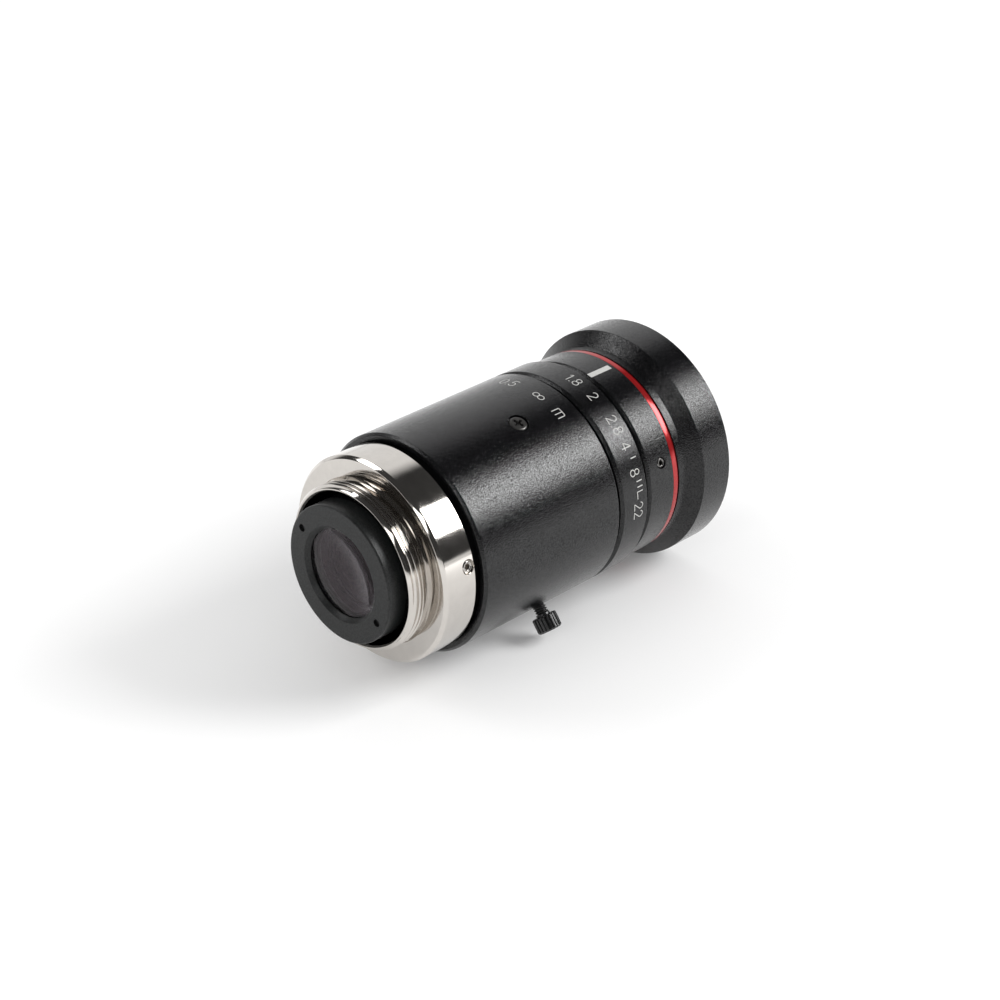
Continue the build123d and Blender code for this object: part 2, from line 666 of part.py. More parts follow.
def make_front_barrel():
    throat = lip_radius + 0.35
    return turned(
        (ring_bore, accent_front),
        (neck_radius, accent_front),
        (neck_radius, neck_front),
        (hood_radius, cone_front),
        (hood_radius, lens_front - HOOD_BEVEL),
        (hood_radius - HOOD_BEVEL, lens_front),
        (FILTER_RADIUS + HOOD_BEVEL, lens_front),
        (FILTER_RADIUS, lens_front - HOOD_BEVEL),
        (FILTER_RADIUS, lens_front - FILTER_DEPTH),
        (FILTER_RADIUS - FILTER_STEP, lens_front - FILTER_DEPTH),
        (throat, funnel_rear),
        (throat, clamp_y),
        (ring_bore, clamp_y),
    )


def make_front_cell():
    glass_seat = barrel_front - FRONT_GLASS_EDGE
    second_bore = front_bore - SECOND_GLASS_STEP
    second_seat = glass_seat - RETAINER_LENGTH - SECOND_GLASS_EDGE
    front = barrel_front + RETAINER_LENGTH
    return turned(
        (second_bore - REAR_OPENING_STEP, retainer_rear + IRIS_RETAINER_LENGTH + END_PLAY),
        (iris_radius, retainer_rear + IRIS_RETAINER_LENGTH + END_PLAY),
        (iris_radius, barrel_front),
        (barrel_radius, barrel_front),
        (barrel_radius, barrel_front + FRONT_CELL_FLANGE),
        (lip_radius, barrel_front + FRONT_CELL_FLANGE),
        (lip_radius, front),
        (front_bore, front),
        (front_bore, glass_seat),
        (second_bore, glass_seat),
        (second_bore, second_seat),
        (second_bore - REAR_OPENING_STEP, second_seat),
    )


def make_front_glass():
    glass_seat = barrel_front - FRONT_GLASS_EDGE
    second_radius = front_bore - SECOND_GLASS_STEP - FIT
    second_seat = glass_seat - RETAINER_LENGTH - SECOND_GLASS_EDGE
    second_front = second_seat + SECOND_GLASS_EDGE
    rear_clear = front_bore - SECOND_GLASS_STEP - FIT
    front_clear = front_bore - RETAINER_WIDTH - FIT
    second_clear = second_radius - max(RETAINER_WIDTH, REAR_OPENING_STEP) - FIT
    return {
        "front_lens": lens_element(front_bore - FIT, rear_clear, front_clear,
                                   glass_seat, barrel_front, 1.6, 2.1),
        "second_lens": lens_element(second_radius, second_clear, second_clear,
                                    second_seat, second_front, 0.9, -0.8),
        "second_retainer": slotted_ring(second_radius, second_radius - RETAINER_WIDTH,
                                        second_front, second_front + RETAINER_LENGTH * 0.75),
        "front_retainer": slotted_ring(front_bore - FIT, front_bore - RETAINER_WIDTH,
                                       barrel_front, barrel_front + RETAINER_LENGTH),
    }


def make_parts():
    parts = {
        "mount_base": make_mount_base(),
        "mount_set_screws": make_mount_set_screws(),
        "guide_sleeve": make_sleeve(),
        "focus_ring": make_focus_ring(),
        "guide_screws": make_guide_screws(),
        "focus_lock_screw": make_lock_screw(),
        "lens_barrel": make_lens_barrel(),
        "guide_key": make_guide_key(),
        "rear_cell": make_rear_cell(),
        "rear_retainer": make_rear_retainer(),
        "iris_base": make_iris_base(),
        "iris_cam_ring": make_cam_ring(),
        "iris_drive_screw": make_drive_screw(),
        "iris_retainer": slotted_ring(iris_radius, iris_radius - CAM_WALL, retainer_rear,
                                      retainer_rear + IRIS_RETAINER_LENGTH),
        "aperture_ring": make_aperture_ring(),
        "index_ring": make_index_ring(),
        "index_set_screws": make_index_set_screws(),
        "accent_ring": make_accent_ring(),
        "front_barrel": make_front_barrel(),
        "front_cell": make_front_cell(),
    }
    for blade in range(BLADES):
        parts[f"iris_blade_{blade + 1}"] = make_iris_blade(blade)
    rear_glass, _ = glass_stack(REAR_GLASS, cell_rear, glass_radius)
    parts.update(rear_glass)
    front_radius = cell_bore + FRONT_BORE_STEP - FIT
    middle_glass, stack_front = glass_stack(CELL_FRONT_GLASS, front_group_rear, front_radius)
    parts.update(middle_glass)
    parts["middle_retainer"] = slotted_ring(front_radius, front_radius - RETAINER_WIDTH, stack_front, cell_front)
    parts.update(make_front_glass())
    return parts


def main():
    os.makedirs("parts", exist_ok=True)
    for name, solid in make_parts().items():
        export_step(solid, f"parts/{name}.step")
    print("iris blade travel in degrees", round(blade_travel, 3))
    print("blade degrees per degree of aperture ring", round(blade_travel / APERTURE_TRAVEL, 6))
    print("focus travel in mm", FOCUS_TRAVEL, "length over all", round(lens_front + CELL_PROUD, 3))


if __name__ == "__main__":
    main()
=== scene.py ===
"""Looks of a C-mount machine vision lens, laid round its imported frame."""
import json
import math

import bmesh
import bpy
from bpy.props import FloatProperty, FloatVectorProperty, IntProperty, PointerProperty
from mathutils import Matrix, Quaternion, Vector


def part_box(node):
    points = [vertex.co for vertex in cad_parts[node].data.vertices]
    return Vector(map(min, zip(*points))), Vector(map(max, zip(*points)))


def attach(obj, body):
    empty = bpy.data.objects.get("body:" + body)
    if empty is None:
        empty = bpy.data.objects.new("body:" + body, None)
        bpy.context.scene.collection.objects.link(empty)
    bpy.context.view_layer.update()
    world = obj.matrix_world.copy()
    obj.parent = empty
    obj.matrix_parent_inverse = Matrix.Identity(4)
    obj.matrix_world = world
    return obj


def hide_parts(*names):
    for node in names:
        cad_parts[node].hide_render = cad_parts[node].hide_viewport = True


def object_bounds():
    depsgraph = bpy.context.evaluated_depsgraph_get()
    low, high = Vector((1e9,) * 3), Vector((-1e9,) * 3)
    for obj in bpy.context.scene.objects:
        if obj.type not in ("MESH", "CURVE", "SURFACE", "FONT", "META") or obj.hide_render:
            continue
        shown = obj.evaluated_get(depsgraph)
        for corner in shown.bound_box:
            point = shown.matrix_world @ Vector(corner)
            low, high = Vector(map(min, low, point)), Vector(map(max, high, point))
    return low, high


bl_info = {
    "name": "Machine vision lens",
    "version": (1, 0, 0),
    "blender": (4, 5, 0),
    "location": "View3D > Sidebar > Lens",
    "description": "Builds the surfaces, threads, scales and studio of a C-mount lens round its frame",
    "category": "Object",
}

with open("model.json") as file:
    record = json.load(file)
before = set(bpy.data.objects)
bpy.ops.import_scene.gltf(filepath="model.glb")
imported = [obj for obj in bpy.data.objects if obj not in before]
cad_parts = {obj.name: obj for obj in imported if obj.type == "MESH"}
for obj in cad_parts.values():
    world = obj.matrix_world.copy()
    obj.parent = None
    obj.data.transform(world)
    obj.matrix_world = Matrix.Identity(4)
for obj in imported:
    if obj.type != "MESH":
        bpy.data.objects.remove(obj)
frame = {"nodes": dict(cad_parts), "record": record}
CAD_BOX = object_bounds()

MM = 0.001
SEGMENTS = 288
SMALL_SEGMENTS = 64
WHITE = (1, 1, 1, 1)

# Angles round the barrel in degrees, from the top towards the right
MOUNT_SCREW_ANGLE = 77.5
INDEX_SCREW_ANGLE = 72.5
CUT_SCREW_ANGLE = 21.5
LOCK_ANGLE = CUT_SCREW_ANGLE + 120
DRIVE_SCREW_ANGLE = 252
SPANNER_ANGLE = 121


def node_reach(node):
    """Rear end, front end and outer radius of a turned node, from the frame."""
    low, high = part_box(node)
    return low.y, high.y, high.z


MOUNT_REAR, MOUNT_FRONT, FLANGE_RADIUS = node_reach("mount_base")
FOCUS_REAR, FOCUS_FRONT, FOCUS_RADIUS = node_reach("focus_ring")
STOP_REAR, STOP_FRONT, STOP_RADIUS = node_reach("aperture_ring")
INDEX_REAR, INDEX_FRONT, INDEX_RADIUS = node_reach("index_ring")
ACCENT_REAR, ACCENT_FRONT, ACCENT_RADIUS = node_reach("accent_ring")
HOOD_REAR, HOOD_FRONT, HOOD_RADIUS = node_reach("front_barrel")
CAP_REAR, CAP_FRONT, CAP_RADIUS = node_reach("rear_retainer")

# Inner ends of the screws that reach through the focusing ring, and bore of the rings in front of it
SCREW_TIP = 14.38 * MM
RING_BORE = 14.97 * MM


def length(name, text, value):
    return FloatProperty(name=name, description=text, default=value, unit="LENGTH", precision=5)


def angle(name, text, degrees):
    return FloatProperty(name=name, description=text, default=math.radians(degrees), unit="ROTATION")


def power(name, text, value):
    return FloatProperty(name=name, description=text, default=value, min=0.0)


def colour(name, text, value):
    return FloatVectorProperty(name=name, description=text, default=value, size=3, subtype="COLOR", min=0.0,
                               max=1.0)


class LensSizes(bpy.types.PropertyGroup):
    """Sizes of the lens that the frame leaves to its surfaces."""
    edge: length("Broken edge", "Radius of the edges a turner breaks", 0.09 * MM)
    thread_radius: length("Mount thread", "Crest radius of the camera thread", 12.7 * MM)
    thread_pitch: length("Mount pitch", "Pitch of the camera thread", 25.4 / 32 * MM)
    thread_depth: length("Mount depth", "Depth of the camera thread", 0.46 * MM)
    thread_relief: length("Thread relief", "Length of the undercut by the flange", 1.2 * MM)
    mount_bore: length("Mount bore", "Radius of the bore behind the sensor side", 11.75 * MM)
    spigot_bore: length("Spigot bore", "Radius of the wide bore at the mount's front", 14.03 * MM)
    flange_bevel: length("Flange bevel", "Bevel round the flange face", 0.5 * MM)
    set_screw_y: length("Mount screws", "Distance from flange to the mount's set screws", 4.7 * MM)
    set_screw_radius: length("Set screw", "Radius of the mount's set screws", 1.0 * MM)
    filter_radius: length("Filter thread", "Root radius of the filter thread", 17.75 * MM)
    filter_pitch: length("Filter pitch", "Pitch of the filter thread", 0.5 * MM)
    filter_depth: length("Filter depth", "Depth of the filter thread", 0.28 * MM)
    stroke: length("Scale stroke", "Width of an engraved stroke", 0.29 * MM)
    letter: length("Scale height", "Height of an engraved number", 1.77 * MM)
    cut_screw_y: length("Focus screws", "Distance from flange to the focusing ring's screws", 24.1 * MM)
    lock_head: length("Lock head", "Radius of the ribbed head of the lock screw", 1.93 * MM)
    lock_ribs: IntProperty(name="Lock ribs", description="Ribs round the lock screw's head", default=20, min=6)


class LensColours(bpy.types.PropertyGroup):
    """Colours of the finishes."""
    anodise: colour("Black anodising", "Bead-blasted and anodised barrel", (0.004, 0.004, 0.0045))
    cell: colour("Rear cell", "Grey-black of the rear cell and cap", (0.0092, 0.0098, 0.0098))
    lining: colour("Lining", "Matt black inside the barrels", (0.004, 0.004, 0.0045))
    nickel: colour("Nickel", "Bright plate on the mount", (0.62, 0.59, 0.555))
    red: colour("Red ring", "Anodised red accent", (0.39, 0.014, 0.016))
    paint: colour("Scale paint", "Paint in the engraved scales", (0.55, 0.55, 0.53))
    steel: colour("Black screws", "Blackened steel", (0.006, 0.006, 0.0065))
    gunmetal: colour("Grey screws", "Bare steel of the set screws", (0.17, 0.165, 0.16))
    coating: colour("Lens coating", "Tint of the reflections on the glass", (0.18, 0.10, 0.145))


class StudioSettings(bpy.types.PropertyGroup):
    """Camera and light."""
    azimuth: angle("Azimuth", "Direction of the camera round the vertical", 45.04)
    elevation: angle("Elevation", "Height of the camera over the horizon", 28.74)
    distance: length("Distance", "Camera to the centre of view", 344.1 * MM)
    shift_right: length("Centre right", "Centre of view from the origin, along the view's right", 18.755 * MM)
    shift_up: length("Centre up", "Centre of view from the origin, along the view's up", 8.70 * MM)
    lens: FloatProperty(name="Focal length", description="On a 36 mm sensor, in millimetres", default=86.4)
    key_light: power("Key light", "Power of the soft box behind, in watts", 2.65)
    left_light: power("Left light", "Power of the lamp on the left, in watts", 0.55)
    front_light: power("Front light", "Power of the lamp in front, in watts", 0.35)
    room_light: power("Room", "Strength of the room's light", 0.6)


def sizes():
    return bpy.context.scene.lens_sizes


def colours():
    return bpy.context.scene.lens_colours


def studio():
    return bpy.context.scene.lens_studio


# Nodes that materials, the room and Geometry Nodes share

def feed(tree, value, socket):
    """Links an output to a socket, or sets the socket to a plain value."""
    if hasattr(value, "is_output"):
        tree.links.new(value, socket)
    else:
        socket.default_value = value


def maths(tree, operation, *values):
    node = tree.nodes.new("ShaderNodeMath")
    node.operation = operation
    for value, socket in zip(values, node.inputs):
        feed(tree, value, socket)
    return node.outputs[0]


def vector_maths(tree, operation, first, second=None):
    node = tree.nodes.new("ShaderNodeVectorMath")
    node.operation = operation
    feed(tree, first, node.inputs[0])
    if second is not None:
        feed(tree, second, node.inputs["Scale" if operation == "SCALE" else 1])
    return node.outputs["Value" if operation in ("LENGTH", "DISTANCE", "DOT_PRODUCT") else "Vector"]


def map_range(tree, value, start, end, low=0.0, high=1.0, smooth_step=False):
    """A value between start and end, brought to the range from low to high."""
    node = tree.nodes.new("ShaderNodeMapRange")
    node.interpolation_type = "SMOOTHSTEP" if smooth_step else "LINEAR"
    for amount, socket in zip((value, start, end, low, high), node.inputs):
        feed(tree, amount, socket)
    return node.outputs["Result"]


def separate(tree, vector):
    node = tree.nodes.new("ShaderNodeSeparateXYZ")
    tree.links.new(vector, node.inputs["Vector"])
    return node.outputs


def combine(tree, **parts):
    node = tree.nodes.new("ShaderNodeCombineXYZ")
    for axis, value in parts.items():
        tree.links.new(value, node.inputs[axis])
    return node.outputs[0]


# Materials

# Noise scales count cells in a metre
GRAIN_SCALE = 5800
FLECK_SCALE = 4800
TOOL_LINES = 9000
GRAIN_HEIGHT = 0.06 * MM
LINE_HEIGHT = 0.004 * MM
# Part of a noise's range over which tone and roughness change
NOISE_LOW = 0.3
NOISE_HIGH = 0.7


def new_material(name):
    """Material with its tree, its surface shader and the object's coordinates."""
    material = bpy.data.materials.new(name)
    material.use_nodes = True
    tree = material.node_tree
    tree.nodes.clear()
    output = tree.nodes.new("ShaderNodeOutputMaterial")
    shader = tree.nodes.new("ShaderNodeBsdfPrincipled")
    tree.links.new(shader.outputs["BSDF"], output.inputs["Surface"])
    return material, tree, shader, tree.nodes.new("ShaderNodeTexCoord").outputs["Object"]


def settle(shader, **settings):
    """Sets inputs of a shader, with low lines for the spaces in their names."""
    for label, value in settings.items():
        shader.inputs[label.replace("_", " ")].default_value = value


def scaled(tone, factor):
    return tuple(min(1.0, channel * factor) for channel in tone)


def noise(tree, vector, scale, detail, roughness):
    texture = tree.nodes.new("ShaderNodeTexNoise")
    texture.inputs["Scale"].default_value = scale
    texture.inputs["Detail"].default_value = detail
    texture.inputs["Roughness"].default_value = roughness
    tree.links.new(vector, texture.inputs["Vector"])
    return texture.outputs["Fac"]


def shade(tree, shader, value, tone, shades, rough, start=NOISE_LOW, end=NOISE_HIGH):
    """Tone between two shades, and roughness between two levels, both led by a noise."""
    ramp = tree.nodes.new("ShaderNodeValToRGB")
    for element, position, factor in zip(ramp.color_ramp.elements, (NOISE_LOW, NOISE_HIGH), shades):
        element.position = position
        element.color = (*scaled(tone, factor), 1)
    tree.links.new(value, ramp.inputs["Fac"])
    tree.links.new(ramp.outputs["Color"], shader.inputs["Base Color"])
    tree.links.new(map_range(tree, value, start, end, *rough), shader.inputs["Roughness"])


def relief(tree, shader, height, strength, distance):
    bump = tree.nodes.new("ShaderNodeBump")
    settle(bump, Strength=strength, Distance=distance)
    tree.links.new(height, bump.inputs["Height"])
    tree.links.new(bump.outputs["Normal"], shader.inputs["Normal"])


def blasted_black(name, tone, rough, grain_strength, ior=1.5):
    """Anodised aluminium, bead-blasted: a fine grain that sparkles where light falls on it."""
    material, tree, shader, place = new_material(name)
    grain = noise(tree, place, GRAIN_SCALE, 1, 0.5)
    fleck = noise(tree, place, FLECK_SCALE, 2, 0.6)
    shade(tree, shader, fleck, tone, (0.4, 2.2), (rough + 0.05, rough - 0.04), 0.36, 0.64)
    tree.links.new(map_range(tree, fleck, 0.38, 0.56, 0.7 * grain_strength, 0.0), shader.inputs["Metallic"])
    relief(tree, shader, grain, grain_strength, GRAIN_HEIGHT)
    settle(shader, IOR=ior)
    return material


def turned_metal(name, tone, rough, metallic=1.0):
    """Metal with the fine rings that a lathe tool leaves round the axis."""
    material, tree, shader, place = new_material(name)
    x, y, z = separate(tree, place)
    squares = maths(tree, "ADD", maths(tree, "MULTIPLY", x, x), maths(tree, "MULTIPLY", z, z))
    rings = noise(tree, combine(tree, X=maths(tree, "POWER", squares, 0.5), Y=y), TOOL_LINES, 2, 0.6)
    shade(tree, shader, noise(tree, place, 600, 3, 0.6), tone, (0.96, 1.03), (rough * 0.75, rough * 1.3))
    relief(tree, shader, rings, 0.05, LINE_HEIGHT)
    settle(shader, Metallic=metallic)
    return material


def clouded(name, tone, cloud, shades, rough, bump=None, **settings):
    """Finish led by one noise, which is given by its scale, detail and roughness."""
    material, tree, shader, place = new_material(name)
    value = noise(tree, place, *cloud)
    shade(tree, shader, value, tone, shades, rough)
    if bump:
        relief(tree, shader, value, *bump)
    settle(shader, **settings)
    return material


def coated_glass(name, tint, body=(0.91, 0.88, 0.91)):
    """Polished glass whose coating tints what it reflects."""
    material, tree, shader, place = new_material(name)
    shade(tree, shader, noise(tree, place, 60, 1, 0.4), body, (0.985, 1.0), (0.0, 0.0))
    settle(shader, Transmission_Weight=1.0, IOR=1.52, Specular_Tint=(*tint, 1))
    return material


MATERIALS = {}


def make_materials():
    tone = colours()
    MATERIALS.update({
        "anodised": blasted_black("black anodised", tone.anodise, 0.13, 0.7),
        "smooth": blasted_black("black anodised smooth", tone.anodise, 0.28, 0.15),
        "cell": blasted_black("grey black anodised", tone.cell, 0.4, 0.12, 1.4),
        "baffle": blasted_black("black baffle", scaled(tone.cell, 3.0), 0.35, 0.1),
        "nickel": turned_metal("bright nickel", tone.nickel, 0.085),
        "plated": turned_metal("plated steel", scaled(tone.nickel, 0.7), 0.16),
        "gunmetal": turned_metal("grey steel", tone.gunmetal, 0.22),
        "dull": turned_metal("dull steel", tone.gunmetal, 0.36),
        "blade": turned_metal("iris blade steel", (0.03, 0.03, 0.032), 0.45, 0.4),
        "lining": clouded("matt black lining", tone.lining, (5200, 2, 0.6), (0.7, 1.3), (0.42, 0.6),
                          (0.25, 0.02 * MM), IOR=1.3),
        "red": clouded("red anodised", tone.red, (900, 3, 0.6), (0.86, 1.1), (0.14, 0.21),
                       Metallic=0.5, Coat_Weight=0.3, Coat_Roughness=0.1),
        "paint": clouded("white scale paint", tone.paint, (5000, 2, 0.6), (0.86, 1.06), (0.5, 0.7)),
        "steel": clouded("black steel", tone.steel, (2200, 3, 0.6), (0.7, 1.6), (0.26, 0.42),
                         (0.15, 0.02 * MM), IOR=1.7),
        "glass": coated_glass("coated glass", tone.coating),
    })


# Turned surfaces

def rounded(outline, radius, steps=3):
    """A closed (radius, y) outline with its corners rounded, by less where an edge is short.

    A third number in a corner is its own rounding; 0 keeps it sharp.
    """
    result = []
    for i, corner in enumerate(outline):
        point = Vector(corner[:2])
        back = Vector(outline[i - 1][:2]) - point
        ahead = Vector(outline[(i + 1) % len(outline)][:2]) - point
        reach = min(radius if len(corner) < 3 else corner[2], back.length * 0.4, ahead.length * 0.4)
        if reach < 1e-6 or abs(back.normalized().dot(ahead.normalized())) > 0.995:
            result.append(tuple(point))
            continue
        start = point + back.normalized() * reach
        end = point + ahead.normalized() * reach
        for step in range(steps + 1):
            t = step / steps
            result.append(tuple(start * (1 - t) ** 2 + point * 2 * t * (1 - t) + end * t ** 2))
    return result


def made(build, name, turn_out=False):
    """Mesh of this name from a bmesh, with its faces turned outwards first where that is asked for."""
    if turn_out:
        bmesh.ops.recalc_face_normals(build, faces=build.faces)
    mesh = bpy.data.meshes.new(name)
    build.to_mesh(mesh)
    build.free()
    return mesh


def turned(outline, segments=SEGMENTS):
    """Mesh of revolution round the Y axis from a (radius, y) outline; points on the axis become poles."""
    build = bmesh.new()
    turns = [2 * math.pi * i / segments for i in range(segments)]
    rings = []
    for radius, y in outline:
        places = [(radius * math.sin(turn), y, radius * math.cos(turn)) for turn in turns]
        rings.append([build.verts.new(place) for place in (places if radius > 1e-7 else [(0, y, 0)])])
    for here, there in zip(rings, rings[1:] + rings[:1]):
        if len(here) == 1 and len(there) == 1:
            continue
        for i in range(segments):
            j = (i + 1) % segments
            corners = [here[i % len(here)], here[j % len(here)], there[j % len(there)], there[i % len(there)]]
            unique = list(dict.fromkeys(corners))
            if len(unique) > 2:
                build.faces.new(unique)
    bmesh.ops.remove_doubles(build, verts=build.verts, dist=1e-7)
    return made(build, "turned", turn_out=True)


def wall(radius, start, end, rows):
    """Points up a straight wall, close enough together to carry a thread."""
    return [(radius, start + (end - start) * i / rows, 0) for i in range(rows + 1)]


def bevelled(radius, y, bevel, rounding=0.05 * MM):
    """Two points of an outline for the bevel at a ring's rear edge."""
    return (radius - bevel, y, rounding), (radius, y + bevel, rounding)


def link(name, mesh):
    piece = bpy.data.objects.new(name, mesh)
    bpy.context.scene.collection.objects.link(piece)
    return piece


def lathe_piece(name, outline, edge=None, segments=SEGMENTS):
    return link(name, turned(rounded(outline, sizes().edge if edge is None else edge), segments))


def radial(angle_deg, y):
    """Matrix that turns the local Y axis away from the optical axis at an angle, at a place along it."""
    turn = Matrix.Rotation(math.radians(angle_deg), 4, "Y")
    return Matrix.Translation((0, y, 0)) @ turn @ Matrix.Rotation(math.radians(90), 4, "X")


def evaluated_mesh(piece):
    graph = bpy.context.evaluated_depsgraph_get()
    graph.update()
    return bpy.data.meshes.new_from_object(piece.evaluated_get(graph))


def flatten(piece):
    """Turns a piece and its modifiers into a plain mesh."""
    mesh = evaluated_mesh(piece)
    piece.modifiers.clear()
    old = piece.data
    piece.data = mesh
    if old.users == 0:
        bpy.data.meshes.remove(old)


def cut(piece, cutters):
    """Cuts meshes, each with its place, out of a piece."""
    for mesh, place in cutters:
        helper = link("cutter", mesh)
        helper.data.transform(place)
        modifier = piece.modifiers.new("cut", "BOOLEAN")
        modifier.operation = "DIFFERENCE"
        modifier.solver = "EXACT"
        modifier.object = helper
        flatten(piece)
        bpy.data.objects.remove(helper)


def smooth(piece, sharp=38):
    """Smooth shading inside an angle, led by the large faces."""
    piece.data.shade_smooth()
    piece.data.set_sharp_from_angle(angle=math.radians(sharp))
    modifier = piece.modifiers.new("led by large faces", "WEIGHTED_NORMAL")
    modifier.keep_sharp = True
    modifier.weight = 60
    flatten(piece)


def finish_piece(piece, material, body, node=None):
    """Gives a piece its finish and its body, and hides the frame's node it stands for."""
    piece.data.materials.clear()
    piece.data.materials.append(MATERIALS[material])
    for polygon in piece.data.polygons:
        polygon.material_index = 0
    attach(piece, body)
    if node is not None:
        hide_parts(node)


# Geometry Nodes: cut thread, ribs, repeats and engraved strokes

class Wiring:
    """Geometry Nodes tree with a geometry in and out, named inputs and a material set at its end."""

    def __init__(self, name, **inputs):
        self.tree = bpy.data.node_groups.new(name, "GeometryNodeTree")
        interface = self.tree.interface
        interface.new_socket("Geometry", in_out="INPUT", socket_type="NodeSocketGeometry")
        for label, value in inputs.items():
            kind = "NodeSocketInt" if isinstance(value, int) else "NodeSocketFloat"
            interface.new_socket(label, in_out="INPUT", socket_type=kind).default_value = value
        interface.new_socket("Material", in_out="INPUT", socket_type="NodeSocketMaterial")
        interface.new_socket("Geometry", in_out="OUTPUT", socket_type="NodeSocketGeometry")
        self.entry = self.tree.nodes.new("NodeGroupInput").outputs

    def put(self, kind, inputs=None, **settings):
        """Output of a new node that has these settings, with its inputs linked or set."""
        node = self.tree.nodes.new(kind)
        for key, value in settings.items():
            setattr(node, key, value)
        for label, value in (inputs or {}).items():
            feed(self.tree, value, node.inputs[label])
        return node.outputs[0] if node.outputs else None

    def maths(self, operation, *values):
        return maths(self.tree, operation, *values)

    def zigzag(self, phase):
        """1 at whole numbers of the phase and 0 half way between them."""
        return self.maths("ABSOLUTE", self.maths("MULTIPLY_ADD", self.maths("FRACT", phase), 2.0, -1.0))

    def polar(self):
        """Outputs for y, the distance from the Y axis, the angle round it and the direction away from it."""
        x, y, z = separate(self.tree, self.put("GeometryNodeInputPosition"))
        away = combine(self.tree, X=x, Z=z)
        return (y, vector_maths(self.tree, "LENGTH", away), self.maths("ARCTAN2", x, z),
                vector_maths(self.tree, "NORMALIZE", away))

    def press(self, y, away, direction, share):
        """Presses the wall of the tree's radius in by a share of its depth, between its start and end."""
        off_wall = self.maths("ABSOLUTE", self.maths("SUBTRACT", away, self.entry["Radius"]))
        between = self.maths("MULTIPLY", self.maths("GREATER_THAN", y, self.entry["Start"]),
                             self.maths("LESS_THAN", y, self.entry["End"]))
        inwards = self.maths("MULTIPLY", self.entry["Depth"], -1.0)
        self.finish(self.put("GeometryNodeSetPosition", {
            "Geometry": self.entry["Geometry"],
            "Selection": self.maths("MULTIPLY", self.maths("LESS_THAN", off_wall, 0.03 * MM), between),
            "Offset": vector_maths(self.tree, "SCALE", direction, self.maths("MULTIPLY", share, inwards))}))

    def finish(self, geometry):
        real = self.put("GeometryNodeRealizeInstances", {"Geometry": geometry})
        painted = self.put("GeometryNodeSetMaterial", {"Geometry": real, "Material": self.entry["Material"]})
        self.put("NodeGroupOutput", {"Geometry": painted})


def thread_tree():
    """Cuts a helical V thread into a turned wall; a negative depth cuts it outwards."""
    wires = Wiring("Cut thread", Radius=0.01, Pitch=0.001, Depth=0.0004, Start=0.0, End=0.01, Runout=0.0002)
    entry = wires.entry
    y, away, turn, direction = wires.polar()
    phase = wires.maths("ADD", wires.maths("DIVIDE", y, entry["Pitch"]), wires.maths("DIVIDE", turn, 2 * math.pi))
    valley = wires.maths("SUBTRACT", 1.0, wires.zigzag(phase))
    shaped = map_range(wires.tree, valley, 0.12, 0.95, smooth_step=True)
    rise = map_range(wires.tree, wires.maths("SUBTRACT", y, entry["Start"]), 0.0, entry["Runout"])
    fall = map_range(wires.tree, wires.maths("SUBTRACT", entry["End"], y), 0.0, entry["Runout"])
    wires.press(y, away, direction, wires.maths("MULTIPLY", shaped, wires.maths("MULTIPLY", rise, fall)))
    return wires.tree


def rib_tree():
    """Presses straight grooves into a turned wall, so that ribs stand between them."""
    wires = Wiring("Press ribs", Radius=0.01, Count=20.0, Depth=0.0001, Start=0.0, End=0.01)
    y, away, turn, direction = wires.polar()
    valley = wires.zigzag(wires.maths("MULTIPLY", wires.maths("DIVIDE", turn, 2 * math.pi), wires.entry["Count"]))
    wires.press(y, away, direction, map_range(wires.tree, valley, 0.45, 0.85, smooth_step=True))
    return wires.tree


def repeat_tree():
    """Repeats a piece round the Y axis, each one a step further on."""
    wires = Wiring("Repeat round axis", Count=3, Step=2 * math.pi / 3)
    tree = wires.tree
    one = wires.put("GeometryNodeGeometryToInstance", {"Geometry": wires.entry["Geometry"]})
    many = tree.nodes.new("GeometryNodeDuplicateElements")
    many.domain = "INSTANCE"
    tree.links.new(one, many.inputs["Geometry"])
    tree.links.new(wires.entry["Count"], many.inputs["Amount"])
    turn = wires.maths("MULTIPLY", wires.entry["Step"], many.outputs["Duplicate Index"])
    wires.finish(wires.put("GeometryNodeRotateInstances", {
        "Instances": many.outputs["Geometry"], "Rotation": combine(tree, Y=turn), "Local Space": False}))
    return tree


